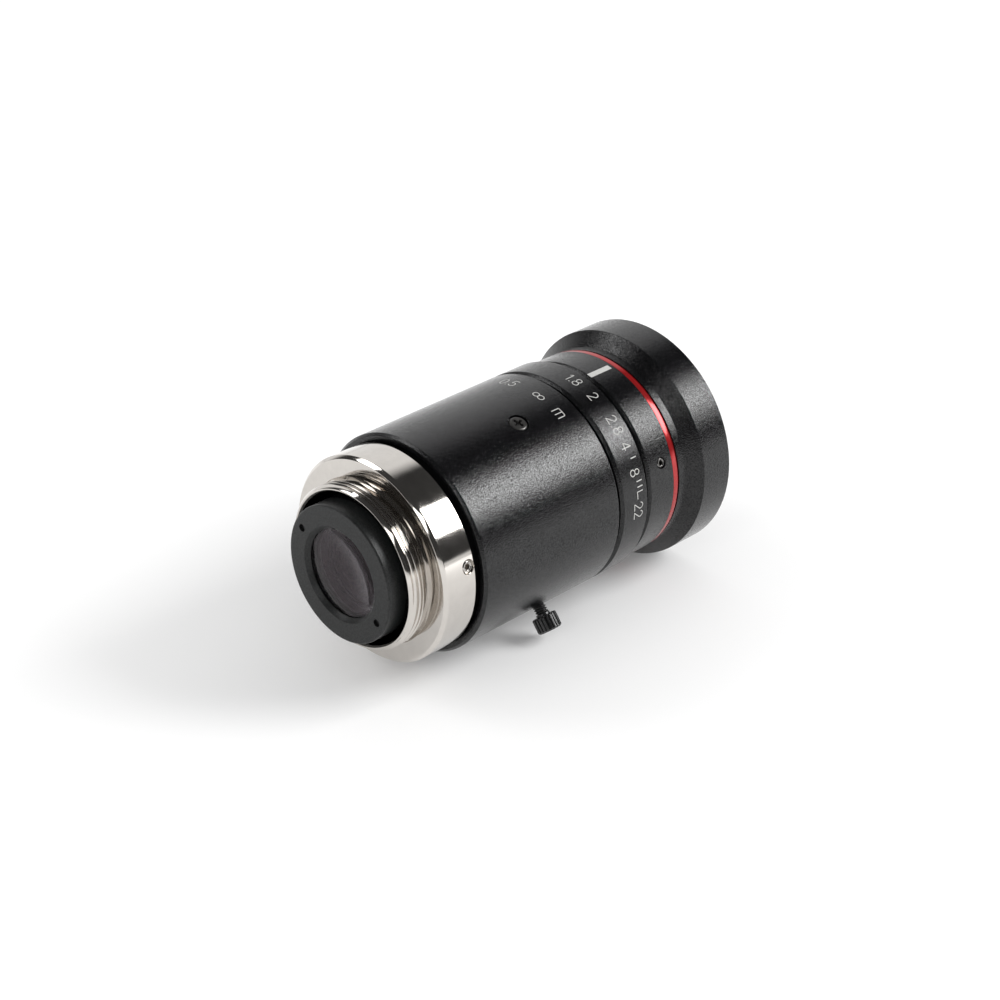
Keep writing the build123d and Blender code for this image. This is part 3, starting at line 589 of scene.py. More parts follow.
def engrave_tree():
    """Lays flat strokes on a ring as paint-filled grooves with round ends."""
    wires = Wiring("Engrave ring", Radius=0.017, Stroke=0.0002, Proud=0.00001)
    tree, entry = wires.tree, wires.entry
    half = wires.maths("MULTIPLY", entry["Stroke"], 0.5)
    even = wires.put("GeometryNodeResampleCurve", {
        "Curve": entry["Geometry"], "Length": wires.maths("MULTIPLY", entry["Stroke"], 0.45)}, mode="LENGTH")
    upright = wires.put("GeometryNodeSetCurveNormal", {"Curve": even}, mode="Z_UP")
    section = wires.put("GeometryNodeCurvePrimitiveCircle", {"Resolution": 10, "Radius": half})
    sweep = wires.put("GeometryNodeCurveToMesh", {
        "Curve": upright, "Profile Curve": section, "Fill Caps": True})
    ball = wires.put("GeometryNodeMeshUVSphere", {"Segments": 12, "Rings": 8, "Radius": half})
    dots = wires.put("GeometryNodeInstanceOnPoints", {
        "Points": even, "Selection": wires.put("GeometryNodeCurveEndpointSelection"), "Instance": ball})
    both = tree.nodes.new("GeometryNodeJoinGeometry")
    tree.links.new(sweep, both.inputs["Geometry"])
    tree.links.new(wires.put("GeometryNodeRealizeInstances", {"Geometry": dots}), both.inputs["Geometry"])
    along, y, height = separate(tree, wires.put("GeometryNodeInputPosition"))
    depth = wires.maths("MULTIPLY", entry["Stroke"], 0.25)
    out = wires.maths("MULTIPLY_ADD", wires.maths("DIVIDE", height, half), depth,
                      wires.maths("SUBTRACT", entry["Proud"], depth))
    radius = wires.maths("ADD", entry["Radius"], out)
    turn = wires.maths("DIVIDE", along, entry["Radius"])
    spot = combine(tree, X=wires.maths("MULTIPLY", radius, wires.maths("SINE", turn)), Y=y,
                   Z=wires.maths("MULTIPLY", radius, wires.maths("COSINE", turn)))
    wires.finish(wires.put("GeometryNodeSetPosition", {"Geometry": both.outputs[0], "Position": spot}))
    return tree


TREE_MAKERS = {"thread": thread_tree, "ribs": rib_tree, "repeat": repeat_tree, "engrave": engrave_tree}
TREES = {}


def apply_tree(piece, kind, material, **inputs):
    """Runs a tree on a piece and keeps its result as a plain mesh."""
    if kind not in TREES:
        TREES[kind] = TREE_MAKERS[kind]()
    inputs["Material"] = MATERIALS[material]
    modifier = piece.modifiers.new(kind, "NODES")
    modifier.node_group = TREES[kind]
    for item in TREES[kind].interface.items_tree:
        if item.item_type == "SOCKET" and item.in_out == "INPUT" and item.name in inputs:
            modifier[item.identifier] = inputs[item.name]
    if piece.type == "MESH":
        flatten(piece)
        return piece
    name, mesh = piece.name, evaluated_mesh(piece)
    bpy.data.objects.remove(piece)
    return link(name, mesh)


# Engraved figures: strokes in a box that is one unit high

def arc(x, y, across, up, start, end, steps=14):
    """Points on an ellipse, in degrees counted from the right, anticlockwise."""
    turns = [math.radians(start + (end - start) * i / steps) for i in range(steps + 1)]
    return [(x + across * math.cos(turn), y + up * math.sin(turn)) for turn in turns]


FIGURES = {
    "0": (0.62, [arc(0.31, 0.5, 0.29, 0.5, 90, 450, 28)]),
    "1": (0.26, [[(0.0, 0.8), (0.2, 1.0), (0.2, 0.0)]]),
    "2": (0.60, [arc(0.29, 0.72, 0.27, 0.28, 165, -32) + [(0.0, 0.0), (0.6, 0.0)]]),
    "4": (0.62, [[(0.46, 0.0), (0.46, 1.0), (0.0, 0.28), (0.62, 0.28)]]),
    "5": (0.58, [[(0.52, 1.0), (0.1, 1.0), (0.04, 0.53)] + arc(0.26, 0.32, 0.29, 0.31, 120, -150)]),
    "8": (0.58, [arc(0.29, 0.755, 0.23, 0.245, -90, 270, 24), arc(0.29, 0.26, 0.28, 0.26, 90, 450, 24)]),
    ".": (0.08, [[(0.02, 0.03), (0.07, 0.03)]]),
    "m": (0.88, [[(0.0, 0.0), (0.0, 0.8)] + arc(0.76, 0.68, 0.12, 0.12, 90, 0, 6) + [(0.88, 0.0)],
                 [(0.44, 0.8), (0.44, 0.0)]]),
    "endless": (1.12, [arc(0.28, 0.5, 0.28, 0.28, 0, 360, 24), arc(0.84, 0.5, 0.28, 0.28, 180, 540, 24)]),
}
GAP = 0.21
# How far the paint stands over the metal
PAINT_PROUD = 0.012 * MM


def figure_strokes(text, centre_angle, radius, base_y):
    """Strokes of a row of figures on a ring, in distance round the ring and distance along the axis.

    The figures stand with their tops towards the front and read from the camera's side.
    """
    height = sizes().letter
    names = [text] if text in FIGURES else list(text)
    width = sum(FIGURES[name][0] for name in names) + GAP * (len(names) - 1)
    cursor = -width / 2
    strokes = []
    for name in names:
        advance, lines = FIGURES[name]
        for line in lines:
            strokes.append([(radius * math.radians(centre_angle) + (cursor + x) * height, base_y + y * height)
                            for x, y in line])
        cursor += advance + GAP
    return strokes


def engrave(name, strokes, radius, body, width=None):
    """Engraves strokes round a ring and fills them with paint."""
    curve = bpy.data.curves.new(name, "CURVE")
    curve.dimensions = "3D"
    for stroke in strokes:
        spline = curve.splines.new("POLY")
        spline.points.add(len(stroke) - 1)
        for point, (x, y) in zip(spline.points, stroke):
            point.co = (x, y, 0, 1)
    piece = apply_tree(link(name, curve), "engrave", "paint", Radius=radius, Stroke=width or sizes().stroke,
                       Proud=PAINT_PROUD)
    piece.data.shade_smooth()
    finish_piece(piece, "paint", body)


def ring_patch(name, radius, angle_deg, width, rear, front, columns=12):
    """Flat-ended bar let into a ring, with the ring's own curve."""
    inner, outer = radius - 0.1 * MM, radius + PAINT_PROUD
    outline = [(inner, rear), (outer, rear), (outer, front), (inner, front)]
    half = width / radius / 2
    middle = math.radians(angle_deg)
    build = bmesh.new()
    rows = []
    for i in range(columns + 1):
        turn = middle - half + 2 * half * i / columns
        rows.append([build.verts.new((r * math.sin(turn), y, r * math.cos(turn))) for r, y in outline])
    for here, there in zip(rows, rows[1:]):
        for i in range(4):
            j = (i + 1) % 4
            build.faces.new((here[i], here[j], there[j], there[i]))
    build.faces.new(rows[0])
    build.faces.new(list(reversed(rows[-1])))
    return link(name, made(build, name, turn_out=True))


# Screws and holes

def hex_socket(radius, top, depth):
    """Six-sided cutter for a socket, its axis along Y."""
    build = bmesh.new()
    bmesh.ops.create_cone(build, cap_ends=True, segments=6, radius1=radius, radius2=radius, depth=2 * depth)
    mesh = made(build, "socket")
    mesh.transform(Matrix.Translation((0, top, 0)) @ Matrix.Rotation(math.radians(90), 4, "X"))
    return mesh


def cross_arm(span, width, depth, top, turn):
    """One arm of the cutter for a cross recess, narrower towards its floor, its axis along Y."""
    at_floor, at_mouth = 0.8, 1.1
    build = bmesh.new()
    bmesh.ops.create_cube(build, size=1)
    for corner in build.verts:
        taper = at_floor if corner.co.y < 0 else at_mouth
        corner.co = Vector((corner.co.x * span * taper, top + corner.co.y * 2 * depth,
                            corner.co.z * width * taper))
    mesh = made(build, "arm")
    mesh.transform(Matrix.Rotation(math.radians(turn), 4, "Y"))
    return mesh


def set_screw(name, radius, bottom, top, y, first_angle, depth):
    """Set screw with a bevelled rim and a hexagon socket, three times round the axis."""
    bevel, rim, lip, mouth, dish = (radius * share for share in (0.22, 0.74, 0.64, 0.56, 0.1))
    outline = [(0, bottom), (radius, bottom, 0.1 * MM), (radius, top - bevel), (rim, top), (lip, top),
               (mouth, top - dish), (0, top - dish)]
    piece = lathe_piece(name, outline, 0.03 * MM, SMALL_SEGMENTS)
    cut(piece, [(hex_socket(radius * 0.52, top, depth), Matrix.Identity(4))])
    smooth(piece)
    piece.data.transform(radial(first_angle, y))
    return apply_tree(piece, "repeat", "steel", Count=3, Step=math.radians(120))


def hole_cutter(radius, inner, outer, mouth=0.0):
    """Round cutter along local Y, flared at its outer end by the mouth's chamfer."""
    beyond = outer + 2 * MM
    return turned([(0, inner), (radius, inner), (radius, outer - mouth), (radius + mouth, outer),
                   (radius + mouth, beyond), (0, beyond)], SMALL_SEGMENTS)


def thirds(first):
    return [first + 120 * turn for turn in range(3)]


class LENS_OT_mount(bpy.types.Operator):
    """Bright C-mount with its camera thread, flange and set screws"""
    bl_idname = "lens.mount"
    bl_label = "Mount"

    def execute(self, context):
        size = sizes()
        crest = size.thread_radius
        relief_radius = crest - 0.55 * MM
        corner = crest + 0.1 * MM
        corner_depth = 0.2 * MM
        spigot_floor = 1.4 * MM
        lead = 0.45 * MM
        thread_end = -size.thread_relief
        outline = [
            (size.mount_bore, MOUNT_REAR + 0.3 * MM), (size.mount_bore + 0.3 * MM, MOUNT_REAR),
            (crest - lead, MOUNT_REAR),
            *wall(crest, MOUNT_REAR + lead, thread_end, 64),
            (relief_radius, thread_end + 0.3 * MM), (relief_radius, corner_depth), (corner, corner_depth),
            (corner, 0), *bevelled(FLANGE_RADIUS, 0, size.flange_bevel), (FLANGE_RADIUS, MOUNT_FRONT, 0.12 * MM),
            (size.spigot_bore, MOUNT_FRONT), (size.spigot_bore, spigot_floor), (size.mount_bore, spigot_floor),
        ]
        piece = lathe_piece("mount_shell", outline, 0.06 * MM)
        apply_tree(piece, "thread", "nickel", Radius=crest, Pitch=size.thread_pitch, Depth=size.thread_depth,
                   Start=MOUNT_REAR, End=thread_end + 0.05 * MM, Runout=0.25 * MM)
        hole = size.set_screw_radius + 0.02 * MM
        cut(piece, [(hole_cutter(hole, size.spigot_bore - MM, FLANGE_RADIUS - 0.1 * MM, 0.12 * MM),
                     radial(turn, size.set_screw_y)) for turn in thirds(MOUNT_SCREW_ANGLE)])
        smooth(piece, 50)
        finish_piece(piece, "nickel", "fixed_base", "mount_base")
        top = FLANGE_RADIUS - 0.15 * MM
        screws = set_screw("mount_screws", size.set_screw_radius, top - 1.7 * MM, top, size.set_screw_y,
                           MOUNT_SCREW_ANGLE, 1.2 * MM)
        finish_piece(screws, "plated", "fixed_base", "mount_set_screws")
        return {"FINISHED"}


class LENS_OT_rear_cell(bpy.types.Operator):
    """Cap with two spanner holes, and the stepped rings behind the rear glass"""
    bl_idname = "lens.rear_cell"
    bl_label = "Rear cell"

    def execute(self, context):
        opening = 6.8 * MM
        chamfer = 0.65 * MM
        seat = CAP_REAR + 0.78 * MM
        inner = 9.9 * MM
        outline = [
            (opening, CAP_REAR + chamfer), (opening + chamfer, CAP_REAR), (CAP_RADIUS, CAP_REAR, 0.28 * MM),
            (CAP_RADIUS, CAP_FRONT, 0.06 * MM), (inner, CAP_FRONT), (inner, seat), (opening, seat),
        ]
        piece = lathe_piece("cap", outline, 0.07 * MM)
        spanner = turned([(0, -MM), (0.6 * MM, -MM), (0.6 * MM, 0.5 * MM), (0, 0.55 * MM)], SMALL_SEGMENTS)
        spanner_reach = 9.0
        cutters = []
        for turn in (math.radians(SPANNER_ANGLE), math.radians(SPANNER_ANGLE + 180)):
            place = Vector((math.sin(turn), 0, math.cos(turn))) * spanner_reach * MM
            cutters.append((spanner.copy(), Matrix.Translation((place.x, CAP_REAR, place.z))))
        cut(piece, cutters)
        smooth(piece)
        finish_piece(piece, "cell", "lens_unit", "rear_retainer")
        self.baffle("rear_baffle", "rear_spacer")
        self.baffle("middle_baffle", "middle_spacer")
        return {"FINISHED"}

    def baffle(self, name, node, count=4):
        """Spacer ring whose bore is turned into steps, which show as rings through the glass."""
        rear, front, outer = node_reach(node)
        crest = outer - 1.2 * MM
        groove = crest + 0.22 * MM
        step = (front - rear) / count
        outline = [(outer, rear), (outer, front)]
        for row in range(count, 0, -1):
            outline += [(crest, rear + row * step, 0), (crest, rear + (row - 0.45) * step, 0),
                        (groove, rear + (row - 0.5) * step, 0), (groove, rear + (row - 0.95) * step, 0)]
        outline[-1] = (groove, rear, 0)
        piece = lathe_piece(name, outline, 0.03 * MM, 192)
        smooth(piece)
        finish_piece(piece, "baffle", "lens_unit", node)


class LENS_OT_glass(bpy.types.Operator):
    """Polished front and rear elements in place of the faceted ones"""
    bl_idname = "lens.glass"
    bl_label = "Glass"

    def execute(self, context):
        start = CAP_REAR + 0.8 * MM
        clear = 6.78 * MM
        self.element("rear_glass", "rear_lens", 8.63 * MM, (clear, clear), start, start + 3.2 * MM,
                     (-0.45 * MM, 0.8 * MM), 14, 160)
        low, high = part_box("front_lens")
        radius = high.z
        rim = high.y - 2.1 * MM
        self.element("front_glass", "front_lens", radius, (radius - 2.5 * MM, radius - 1.1 * MM), rim - 3.8 * MM,
                     rim, (1.6 * MM, 2.1 * MM), 20, 200)
        return {"FINISHED"}

    def element(self, name, node, radius, clears, rear, front, bulges, steps, segments):
        """Lens element with curved faces inside its clear radii and a ground rim, which is blackened."""
        shares = [i / steps for i in range(steps + 1)]
        faces = [[(clear * share, face + bulge * (1 - share ** 2)) for share in shares]
                 for clear, face, bulge in zip(clears, (rear, front), bulges)]
        outline = faces[0] + [(radius, rear), (radius, front)] + faces[1][::-1]
        piece = link(name, turned(outline, segments))
        smooth(piece, 30)
        finish_piece(piece, "glass", "lens_unit", node)
        piece.data.materials.append(MATERIALS["lining"])
        for polygon in piece.data.polygons:
            if math.hypot(polygon.center.x, polygon.center.z) > clears[1]:
                polygon.material_index = 1


class LENS_OT_focus_ring(bpy.types.Operator):
    """Long focusing ring with its screws and the lock screw's hole"""
    bl_idname = "lens.focus_ring"
    bl_label = "Focusing ring"

    def execute(self, context):
        radius = FOCUS_RADIUS
        screw_y = sizes().cut_screw_y
        bore = 15.14 * MM
        wide_bore = 15.6 * MM
        step = FOCUS_FRONT - 7.6 * MM
        outline = [
            (radius - 1.15 * MM, FOCUS_REAR, 0.04 * MM), *bevelled(radius, FOCUS_REAR, 0.4 * MM),
            (radius, FOCUS_FRONT, 0.13 * MM), (wide_bore, FOCUS_FRONT), (wide_bore, step), (bore, step),
            (bore, FOCUS_REAR + 0.65 * MM),
        ]
        piece = lathe_piece("focus_shell", outline)
        outside = radius + 0.05 * MM
        cutters = [(hole_cutter(1.02 * MM, bore - MM, outside), radial(LOCK_ANGLE, screw_y))]
        for turn in (CUT_SCREW_ANGLE, CUT_SCREW_ANGLE + 240):
            place = radial(turn, screw_y)
            cutters += [(hole_cutter(0.82 * MM, bore - MM, outside), place),
                        (hole_cutter(1.6 * MM, radius - 0.84 * MM, radius + 0.02 * MM, 0.08 * MM), place)]
        cut(piece, cutters)
        smooth(piece)
        finish_piece(piece, "anodised", "focus", "focus_ring")
        self.guide_screws(radius - 0.12 * MM, screw_y)
        return {"FINISHED"}

    def guide_screws(self, top, y):
        """Two low round-headed screws with a cross recess."""
        head = 1.43 * MM
        shank = 0.8 * MM
        under = top - 0.7 * MM
        outline = [(0, SCREW_TIP), (shank - 0.15 * MM, SCREW_TIP), (shank, SCREW_TIP + 0.15 * MM), (shank, under),
                   (head, under, 0.03 * MM), (head, top - 0.2 * MM, 0.08 * MM), (head - 0.2 * MM, top, 0.08 * MM),
                   (0, top)]
        piece = lathe_piece("guide_screw_heads", outline, 0.03 * MM, SMALL_SEGMENTS)
        cut(piece, [(cross_arm(1.8 * MM, 0.48 * MM, 0.62 * MM, top, turn), Matrix.Identity(4))
                    for turn in (20, 110)])
        smooth(piece)
        piece.data.transform(radial(CUT_SCREW_ANGLE, y))
        piece = apply_tree(piece, "repeat", "dull", Count=2, Step=math.radians(240))
        finish_piece(piece, "dull", "focus", "guide_screws")


class LENS_OT_stop_ring(bpy.types.Operator):
    """Aperture ring"""
    bl_idname = "lens.stop_ring"
    bl_label = "Aperture ring"

    def execute(self, context):
        bore = 14.99 * MM
        outline = [(bore, STOP_REAR), *bevelled(STOP_RADIUS, STOP_REAR, 0.45 * MM),
                   (STOP_RADIUS, STOP_FRONT, 0.12 * MM), (bore, STOP_FRONT)]
        piece = lathe_piece("stop_shell", outline)
        low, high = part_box("iris_drive_screw")
        shank, head = 0.72 * MM, 1.27 * MM
        sink = [(0, bore - MM), (shank, bore - MM), (shank, STOP_RADIUS - 0.65 * MM),
                (head, STOP_RADIUS - 0.04 * MM), (head, STOP_RADIUS + MM), (0, STOP_RADIUS + MM)]
        cut(piece, [(turned(sink, SMALL_SEGMENTS), radial(DRIVE_SCREW_ANGLE, (low.y + high.y) / 2))])
        smooth(piece)
        finish_piece(piece, "anodised", "aperture", "aperture_ring")
        return {"FINISHED"}


class LENS_OT_index_ring(bpy.types.Operator):
    """Index ring with its three set screws"""
    bl_idname = "lens.index_ring"
    bl_label = "Index ring"

    def execute(self, context):
        hub = 15.62 * MM
        step = INDEX_REAR + 0.9 * MM
        screw_y = INDEX_FRONT - 2.2 * MM
        outline = [(RING_BORE, INDEX_REAR), (hub, INDEX_REAR), (hub, step),
                   *bevelled(INDEX_RADIUS, step, 0.45 * MM), (INDEX_RADIUS, INDEX_FRONT, 0.05 * MM),
                   (RING_BORE, INDEX_FRONT)]
        piece = lathe_piece("index_shell", outline)
        cut(piece, [(hole_cutter(0.87 * MM, RING_BORE - MM, INDEX_RADIUS - 0.06 * MM, 0.08 * MM),
                     radial(turn, screw_y)) for turn in thirds(INDEX_SCREW_ANGLE)])
        smooth(piece)
        finish_piece(piece, "anodised", "lens_unit", "index_ring")
        screws = set_screw("index_screws", 0.85 * MM, 14.65 * MM, INDEX_RADIUS - 0.12 * MM, screw_y,
                           INDEX_SCREW_ANGLE, 0.9 * MM)
        finish_piece(screws, "gunmetal", "lens_unit", "index_set_screws")
        return {"FINISHED"}


class LENS_OT_accent_ring(bpy.types.Operator):
    """Glossy red ring"""
    bl_idname = "lens.accent_ring"
    bl_label = "Red ring"

    def execute(self, context):
        band = ACCENT_REAR + 1.02 * MM
        groove = ACCENT_RADIUS - 0.35 * MM
        outline = [(RING_BORE, ACCENT_REAR), (ACCENT_RADIUS, ACCENT_REAR, 0.12 * MM),
                   (ACCENT_RADIUS, band, 0.2 * MM), (groove, band + 0.06 * MM, 0.03 * MM), (groove, ACCENT_FRONT),
                   (RING_BORE, ACCENT_FRONT)]
        piece = link("red_shell", turned(rounded(outline, 0.05 * MM, 6)))
        smooth(piece)
        finish_piece(piece, "red", "lens_unit", "accent_ring")
        return {"FINISHED"}


class LENS_OT_hood(bpy.types.Operator):
    """Neck, cone and hood in one piece, with the filter thread inside"""
    bl_idname = "lens.hood"
    bl_label = "Hood"

    def execute(self, context):
        size = sizes()
        neck = 16.3 * MM
        neck_front = HOOD_REAR + 1.35 * MM
        cone_front = neck_front + 1.93 * MM
        root = size.filter_radius
        crest = root - size.filter_depth
        thread_rear = HOOD_FRONT - 4.2 * MM
        throat = 13.85 * MM
        throat_rear = thread_rear - 2.3 * MM
        outline = [
            (RING_BORE, HOOD_REAR), (neck, HOOD_REAR, 0.05 * MM), (neck, neck_front, 0.04 * MM),
            (HOOD_RADIUS, cone_front, 0.06 * MM), (HOOD_RADIUS, HOOD_FRONT, 0.2 * MM),
            (root + 0.1 * MM, HOOD_FRONT, 0.04 * MM),
            *wall(crest, HOOD_FRONT - 0.35 * MM, thread_rear + 0.5 * MM, 96),
            (root, thread_rear + 0.35 * MM), (root, thread_rear),
            (root - 0.75 * MM, thread_rear, 0.08 * MM), (throat, thread_rear - 1.35 * MM),
            (throat, throat_rear), (RING_BORE, throat_rear),
        ]
        piece = lathe_piece("hood_shell", outline)
        apply_tree(piece, "thread", "anodised", Radius=crest, Pitch=size.filter_pitch, Depth=-size.filter_depth,
                   Start=thread_rear, End=HOOD_FRONT - 0.2 * MM, Runout=0.3 * MM)
        smooth(piece, 50)
        finish_piece(piece, "anodised", "lens_unit", "front_barrel")
        return {"FINISHED"}


class LENS_OT_lock_screw(bpy.types.Operator):
    """Thumb screw with a ribbed head and a threaded shank"""
    bl_idname = "lens.lock_screw"
    bl_label = "Lock screw"

    def execute(self, context):
        size = sizes()
        head = size.lock_head
        bottom = FOCUS_RADIUS + 1.65 * MM
        top = bottom + 2.45 * MM
        crown = 0.25 * MM
        under = 0.16 * MM
        dish = head * 0.62
        neck_radius, neck = 1.08 * MM, bottom - 0.35 * MM
        shank, step = 1.0 * MM, 15.24 * MM
        point = 0.8 * MM
        lead = 0.1 * MM
        outline = [
            (0, SCREW_TIP), (point - 0.15 * MM, SCREW_TIP), (point, SCREW_TIP + 0.15 * MM), (point, step),
            (shank - lead, step), *wall(shank, step + lead, neck, 72), (neck_radius, neck + 0.02 * MM),
            (neck_radius, bottom), (head - under, bottom, 0.05 * MM), (head, bottom + under, 0.04 * MM),
            *wall(head, bottom + under + 0.04 * MM, top - crown - 0.04 * MM, 6), (head, top - crown, 0.04 * MM),
            (head - crown, top, 0.06 * MM), (dish, top, 0.05 * MM), (dish, top - 0.15 * MM),
            (0, top - 0.15 * MM),
        ]
        piece = lathe_piece("lock_shell", outline, 0.04 * MM, 240)
        apply_tree(piece, "ribs", "steel", Radius=head, Count=float(size.lock_ribs), Depth=0.2 * MM,
                   Start=bottom + 0.1 * MM, End=top - crown + 0.01 * MM)
        apply_tree(piece, "thread", "steel", Radius=shank, Pitch=0.4 * MM, Depth=0.22 * MM, Start=step + lead,
                   End=neck, Runout=0.05 * MM)
        smooth(piece, 50)
        piece.data.transform(radial(LOCK_ANGLE, size.cut_screw_y))
        finish_piece(piece, "steel", "lock_screw", "focus_lock_screw")
        return {"FINISHED"}


class LENS_OT_scales(bpy.types.Operator):
    """Distance scale, stop numbers and index line"""
    bl_idname = "lens.scales"
    bl_label = "Scales"

    def execute(self, context):
        base = 30.25 * MM
        strokes = []
        for text, turn, y in (("0.5", -9.3, base), ("0.2", -43.7, base), ("0.1", -109.5, base),
                              ("endless", 11.5, base), ("m", 26.2, base + 0.17 * MM)):
            strokes += figure_strokes(text, turn, FOCUS_RADIUS, y)
        engrave("distance_scale", strokes, FOCUS_RADIUS, "focus")
        strokes = []
        for text, turn in (("1.8", 11.5), ("2", 25.5), ("2.8", 44.1), ("4", 56.0), ("8", 70.2), ("22", 90.8)):
            strokes += figure_strokes(text, turn, STOP_RADIUS, 37.85 * MM)
        leader, foot = STOP_RADIUS * math.radians(80.6), 38.6 * MM
        strokes.append([(leader, 39.7 * MM), (leader, foot), (leader + 1.1 * MM, foot)])
        engrave("stop_scale", strokes, STOP_RADIUS, "aperture")
        marks = [[(STOP_RADIUS * math.radians(turn), y) for y in (38.8 * MM, 39.75 * MM)]
                 for turn in (62.8, 75.1, 78.1)]
        engrave("stop_marks", marks, STOP_RADIUS, "aperture", 0.4 * MM)
        index = ring_patch("index_line", INDEX_RADIUS, 11.7, 0.95 * MM, 42.12 * MM, 46.6 * MM)
        finish_piece(index, "paint", "lens_unit")
        return {"FINISHED"}


class LENS_OT_inner_parts(bpy.types.Operator):
    """Finishes of the pieces that keep the shape they have in the frame"""
    bl_idname = "lens.inner_parts"
    bl_label = "Inner parts"

    def execute(self, context):
        finishes = {"matt_black_inner": "lining", "black_steel": "steel", "coated_glass": "glass",
                    "blade_steel": "blade", "black_anodised": "smooth", "bright_nickel": "nickel",
                    "red_anodised": "red"}
        slots = {row["node"]: row["material_slot"] for row in frame["record"]["subparts"]}
        for name, node in frame["nodes"].items():
            node.data.materials.clear()
            node.data.materials.append(MATERIALS[finishes[slots[name]]])
        return {"FINISHED"}


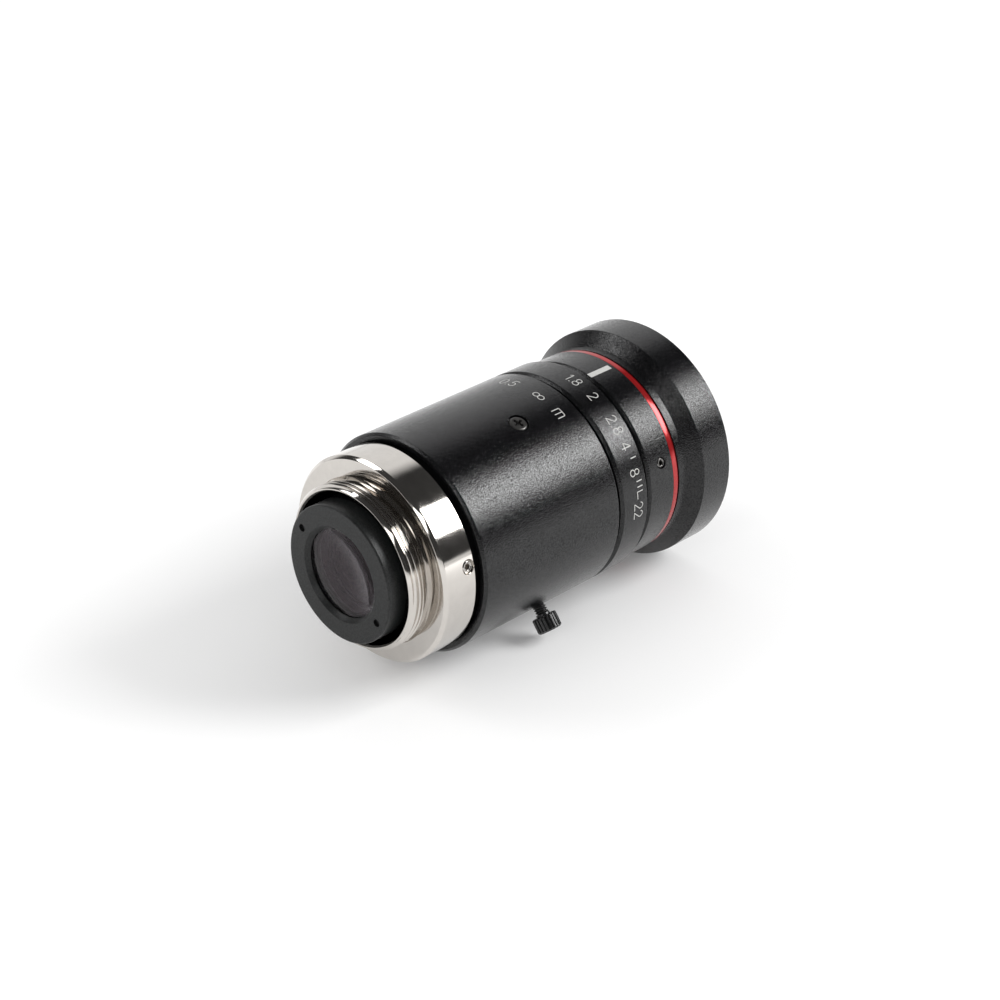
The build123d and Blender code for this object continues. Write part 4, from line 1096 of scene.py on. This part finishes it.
class LENS_OT_stage(bpy.types.Operator):
    """Floor, room light, soft box and camera"""
    bl_idname = "lens.stage"
    bl_label = "Stage"

    def execute(self, context):
        self.floor()
        self.room()
        self.soft_boxes()
        self.camera()
        context.scene.view_settings.view_transform = "Standard"
        return {"FINISHED"}

    def floor(self):
        """Pale floor that keeps the lens's shadow; its emitted lift to white is weaker near the lens, which
        paints shade under it.
        """
        half = 3.0
        height = CAD_BOX[0][2] - 0.05 * MM
        under_lens = (0.03, 0.03, height)
        painted_shade_near, far = (0.04, 0.14), (0.16, 0.34)
        mesh = bpy.data.meshes.new("floor")
        mesh.from_pydata([(-half, -half, height), (half, -half, height), (half, half, height),
                          (-half, half, height)], [], [(0, 1, 2, 3)])
        floor = link("floor", mesh)
        material, tree, shader, place = new_material("pale floor")
        settle(shader, Base_Color=(0.84, 0.84, 0.84, 1), Roughness=0.8, Specular_IOR_Level=0.1,
               Emission_Color=WHITE)
        path = tree.nodes.new("ShaderNodeLightPath").outputs
        seen = maths(tree, "MAXIMUM", path["Is Camera Ray"], path["Is Glossy Ray"])
        seen = maths(tree, "MAXIMUM", seen, path["Is Transmission Ray"])
        # The emitted lift fades towards the point under the lens: painted shade on the floor round and under it.
        apart = vector_maths(tree, "DISTANCE", place, under_lens)
        lift_with_painted_shade = map_range(tree, apart, painted_shade_near[0], far[0], painted_shade_near[1], far[1])
        tree.links.new(maths(tree, "MULTIPLY", seen, lift_with_painted_shade), shader.inputs["Emission Strength"])
        floor.data.materials.append(material)

    def room(self):
        """Dark room with a white sweep behind the lens, for what glossy surfaces show."""
        sweep_heading = (-0.87, 0.49, 0)
        dark = 0.045
        world = bpy.data.worlds.new("room")
        bpy.context.scene.world = world
        world.use_nodes = True
        tree = world.node_tree
        tree.nodes.clear()

        def background(strength):
            node = tree.nodes.new("ShaderNodeBackground")
            node.inputs["Color"].default_value = WHITE
            feed(tree, strength, node.inputs["Strength"])
            return node.outputs[0]

        def choose(share, first, second):
            node = tree.nodes.new("ShaderNodeMixShader")
            for source, socket in zip((share, first, second), node.inputs):
                tree.links.new(source, socket)
            return node.outputs[0]

        x, y, z = separate(tree, tree.nodes.new("ShaderNodeTexCoord").outputs["Generated"])
        heading = vector_maths(tree, "NORMALIZE", combine(tree, X=x, Y=y))
        towards = vector_maths(tree, "DOT_PRODUCT", heading, sweep_heading)
        sweep = maths(tree, "MULTIPLY", map_range(tree, towards, 0.72, 0.84, smooth_step=True),
                      map_range(tree, z, 0.80, 0.68, smooth_step=True))
        bright = maths(tree, "MAXIMUM", sweep, map_range(tree, z, 0.04, 0.0, smooth_step=True))
        shown = maths(tree, "MULTIPLY_ADD", bright, 1 - dark, dark)
        path = tree.nodes.new("ShaderNodeLightPath").outputs
        seen = maths(tree, "MAXIMUM", path["Is Camera Ray"], path["Is Transmission Ray"])
        lit = choose(path["Is Glossy Ray"], background(studio().room_light), background(shown))
        output = tree.nodes.new("ShaderNodeOutputWorld")
        tree.links.new(choose(seen, lit, background(1.0)), output.inputs["Surface"])

    def soft_boxes(self):
        """Key light behind on the right, and two lamps on the camera's side."""
        settings = studio()
        target = Vector((0, 0.026, 0))
        apart = 0.6
        lamps = (
            ("key_box", (0.568, 0.614, 0.548), -54, 0.28, 0.265, settings.key_light),
            ("left_lamp", (-0.62, -0.49, 0.61), 0, 0.2, 0.2, settings.left_light),
            ("front_lamp", (0.29, -0.85, 0.44), 0, 0.16, 0.16, settings.front_light),
        )
        for name, direction, roll, wide, high, watts in lamps:
            data = bpy.data.lights.new(name, "AREA")
            data.shape = "RECTANGLE"
            data.size = wide
            data.size_y = high
            data.energy = watts
            lamp = link(name, data)
            back = Vector(direction).normalized()
            lamp.location = target + back * apart
            aim = back.to_track_quat("Z", "Y") @ Quaternion((0, 0, 1), math.radians(roll))
            lamp.rotation_euler = aim.to_euler()

    def camera(self):
        settings = studio()
        az, el = settings.azimuth, settings.elevation
        back = Vector((math.sin(az) * math.cos(el), -math.cos(az) * math.cos(el), math.sin(el)))
        right = Vector((math.cos(az), math.sin(az), 0))
        up = back.cross(right)
        data = bpy.data.cameras.new("camera")
        data.lens = settings.lens
        data.sensor_width = 36
        data.clip_start = 0.01
        camera = link("camera", data)
        place = back * settings.distance + right * settings.shift_right + up * settings.shift_up
        camera.matrix_world = Matrix.Translation(place) @ Matrix((right, up, back)).transposed().to_4x4()
        bpy.context.scene.camera = camera


class LENS_PT_sidebar(bpy.types.Panel):
    """Lists the lens's pieces and its sizes"""
    bl_idname = "LENS_PT_sidebar"
    bl_label = "Lens"
    bl_space_type = "VIEW_3D"
    bl_region_type = "UI"
    bl_category = "Lens"

    def draw(self, context):
        for group in (sizes(), colours(), studio()):
            box = self.layout.box()
            for name in group.bl_rna.properties.keys():
                if name not in ("rna_type", "name"):
                    box.prop(group, name)
        for operator in STEPS:
            self.layout.operator(operator.bl_idname)


STEPS = (
    LENS_OT_stage, LENS_OT_inner_parts, LENS_OT_mount, LENS_OT_rear_cell, LENS_OT_glass, LENS_OT_focus_ring,
    LENS_OT_stop_ring, LENS_OT_index_ring, LENS_OT_accent_ring, LENS_OT_hood, LENS_OT_lock_screw, LENS_OT_scales,
)
GROUP_CLASSES = {"lens_sizes": LensSizes, "lens_colours": LensColours, "lens_studio": StudioSettings}


def register():
    for name, group in GROUP_CLASSES.items():
        bpy.utils.register_class(group)
        setattr(bpy.types.Scene, name, PointerProperty(type=group))
    for operator in STEPS:
        bpy.utils.register_class(operator)
    bpy.utils.register_class(LENS_PT_sidebar)


def unregister():
    bpy.utils.unregister_class(LENS_PT_sidebar)
    for operator in reversed(STEPS):
        bpy.utils.unregister_class(operator)
    for name, group in GROUP_CLASSES.items():
        delattr(bpy.types.Scene, name)
        bpy.utils.unregister_class(group)


def main():
    register()
    make_materials()
    for operator in STEPS:
        family, step = operator.bl_idname.split(".")
        getattr(getattr(bpy.ops, family), step)()


if __name__ == "__main__":
    main()
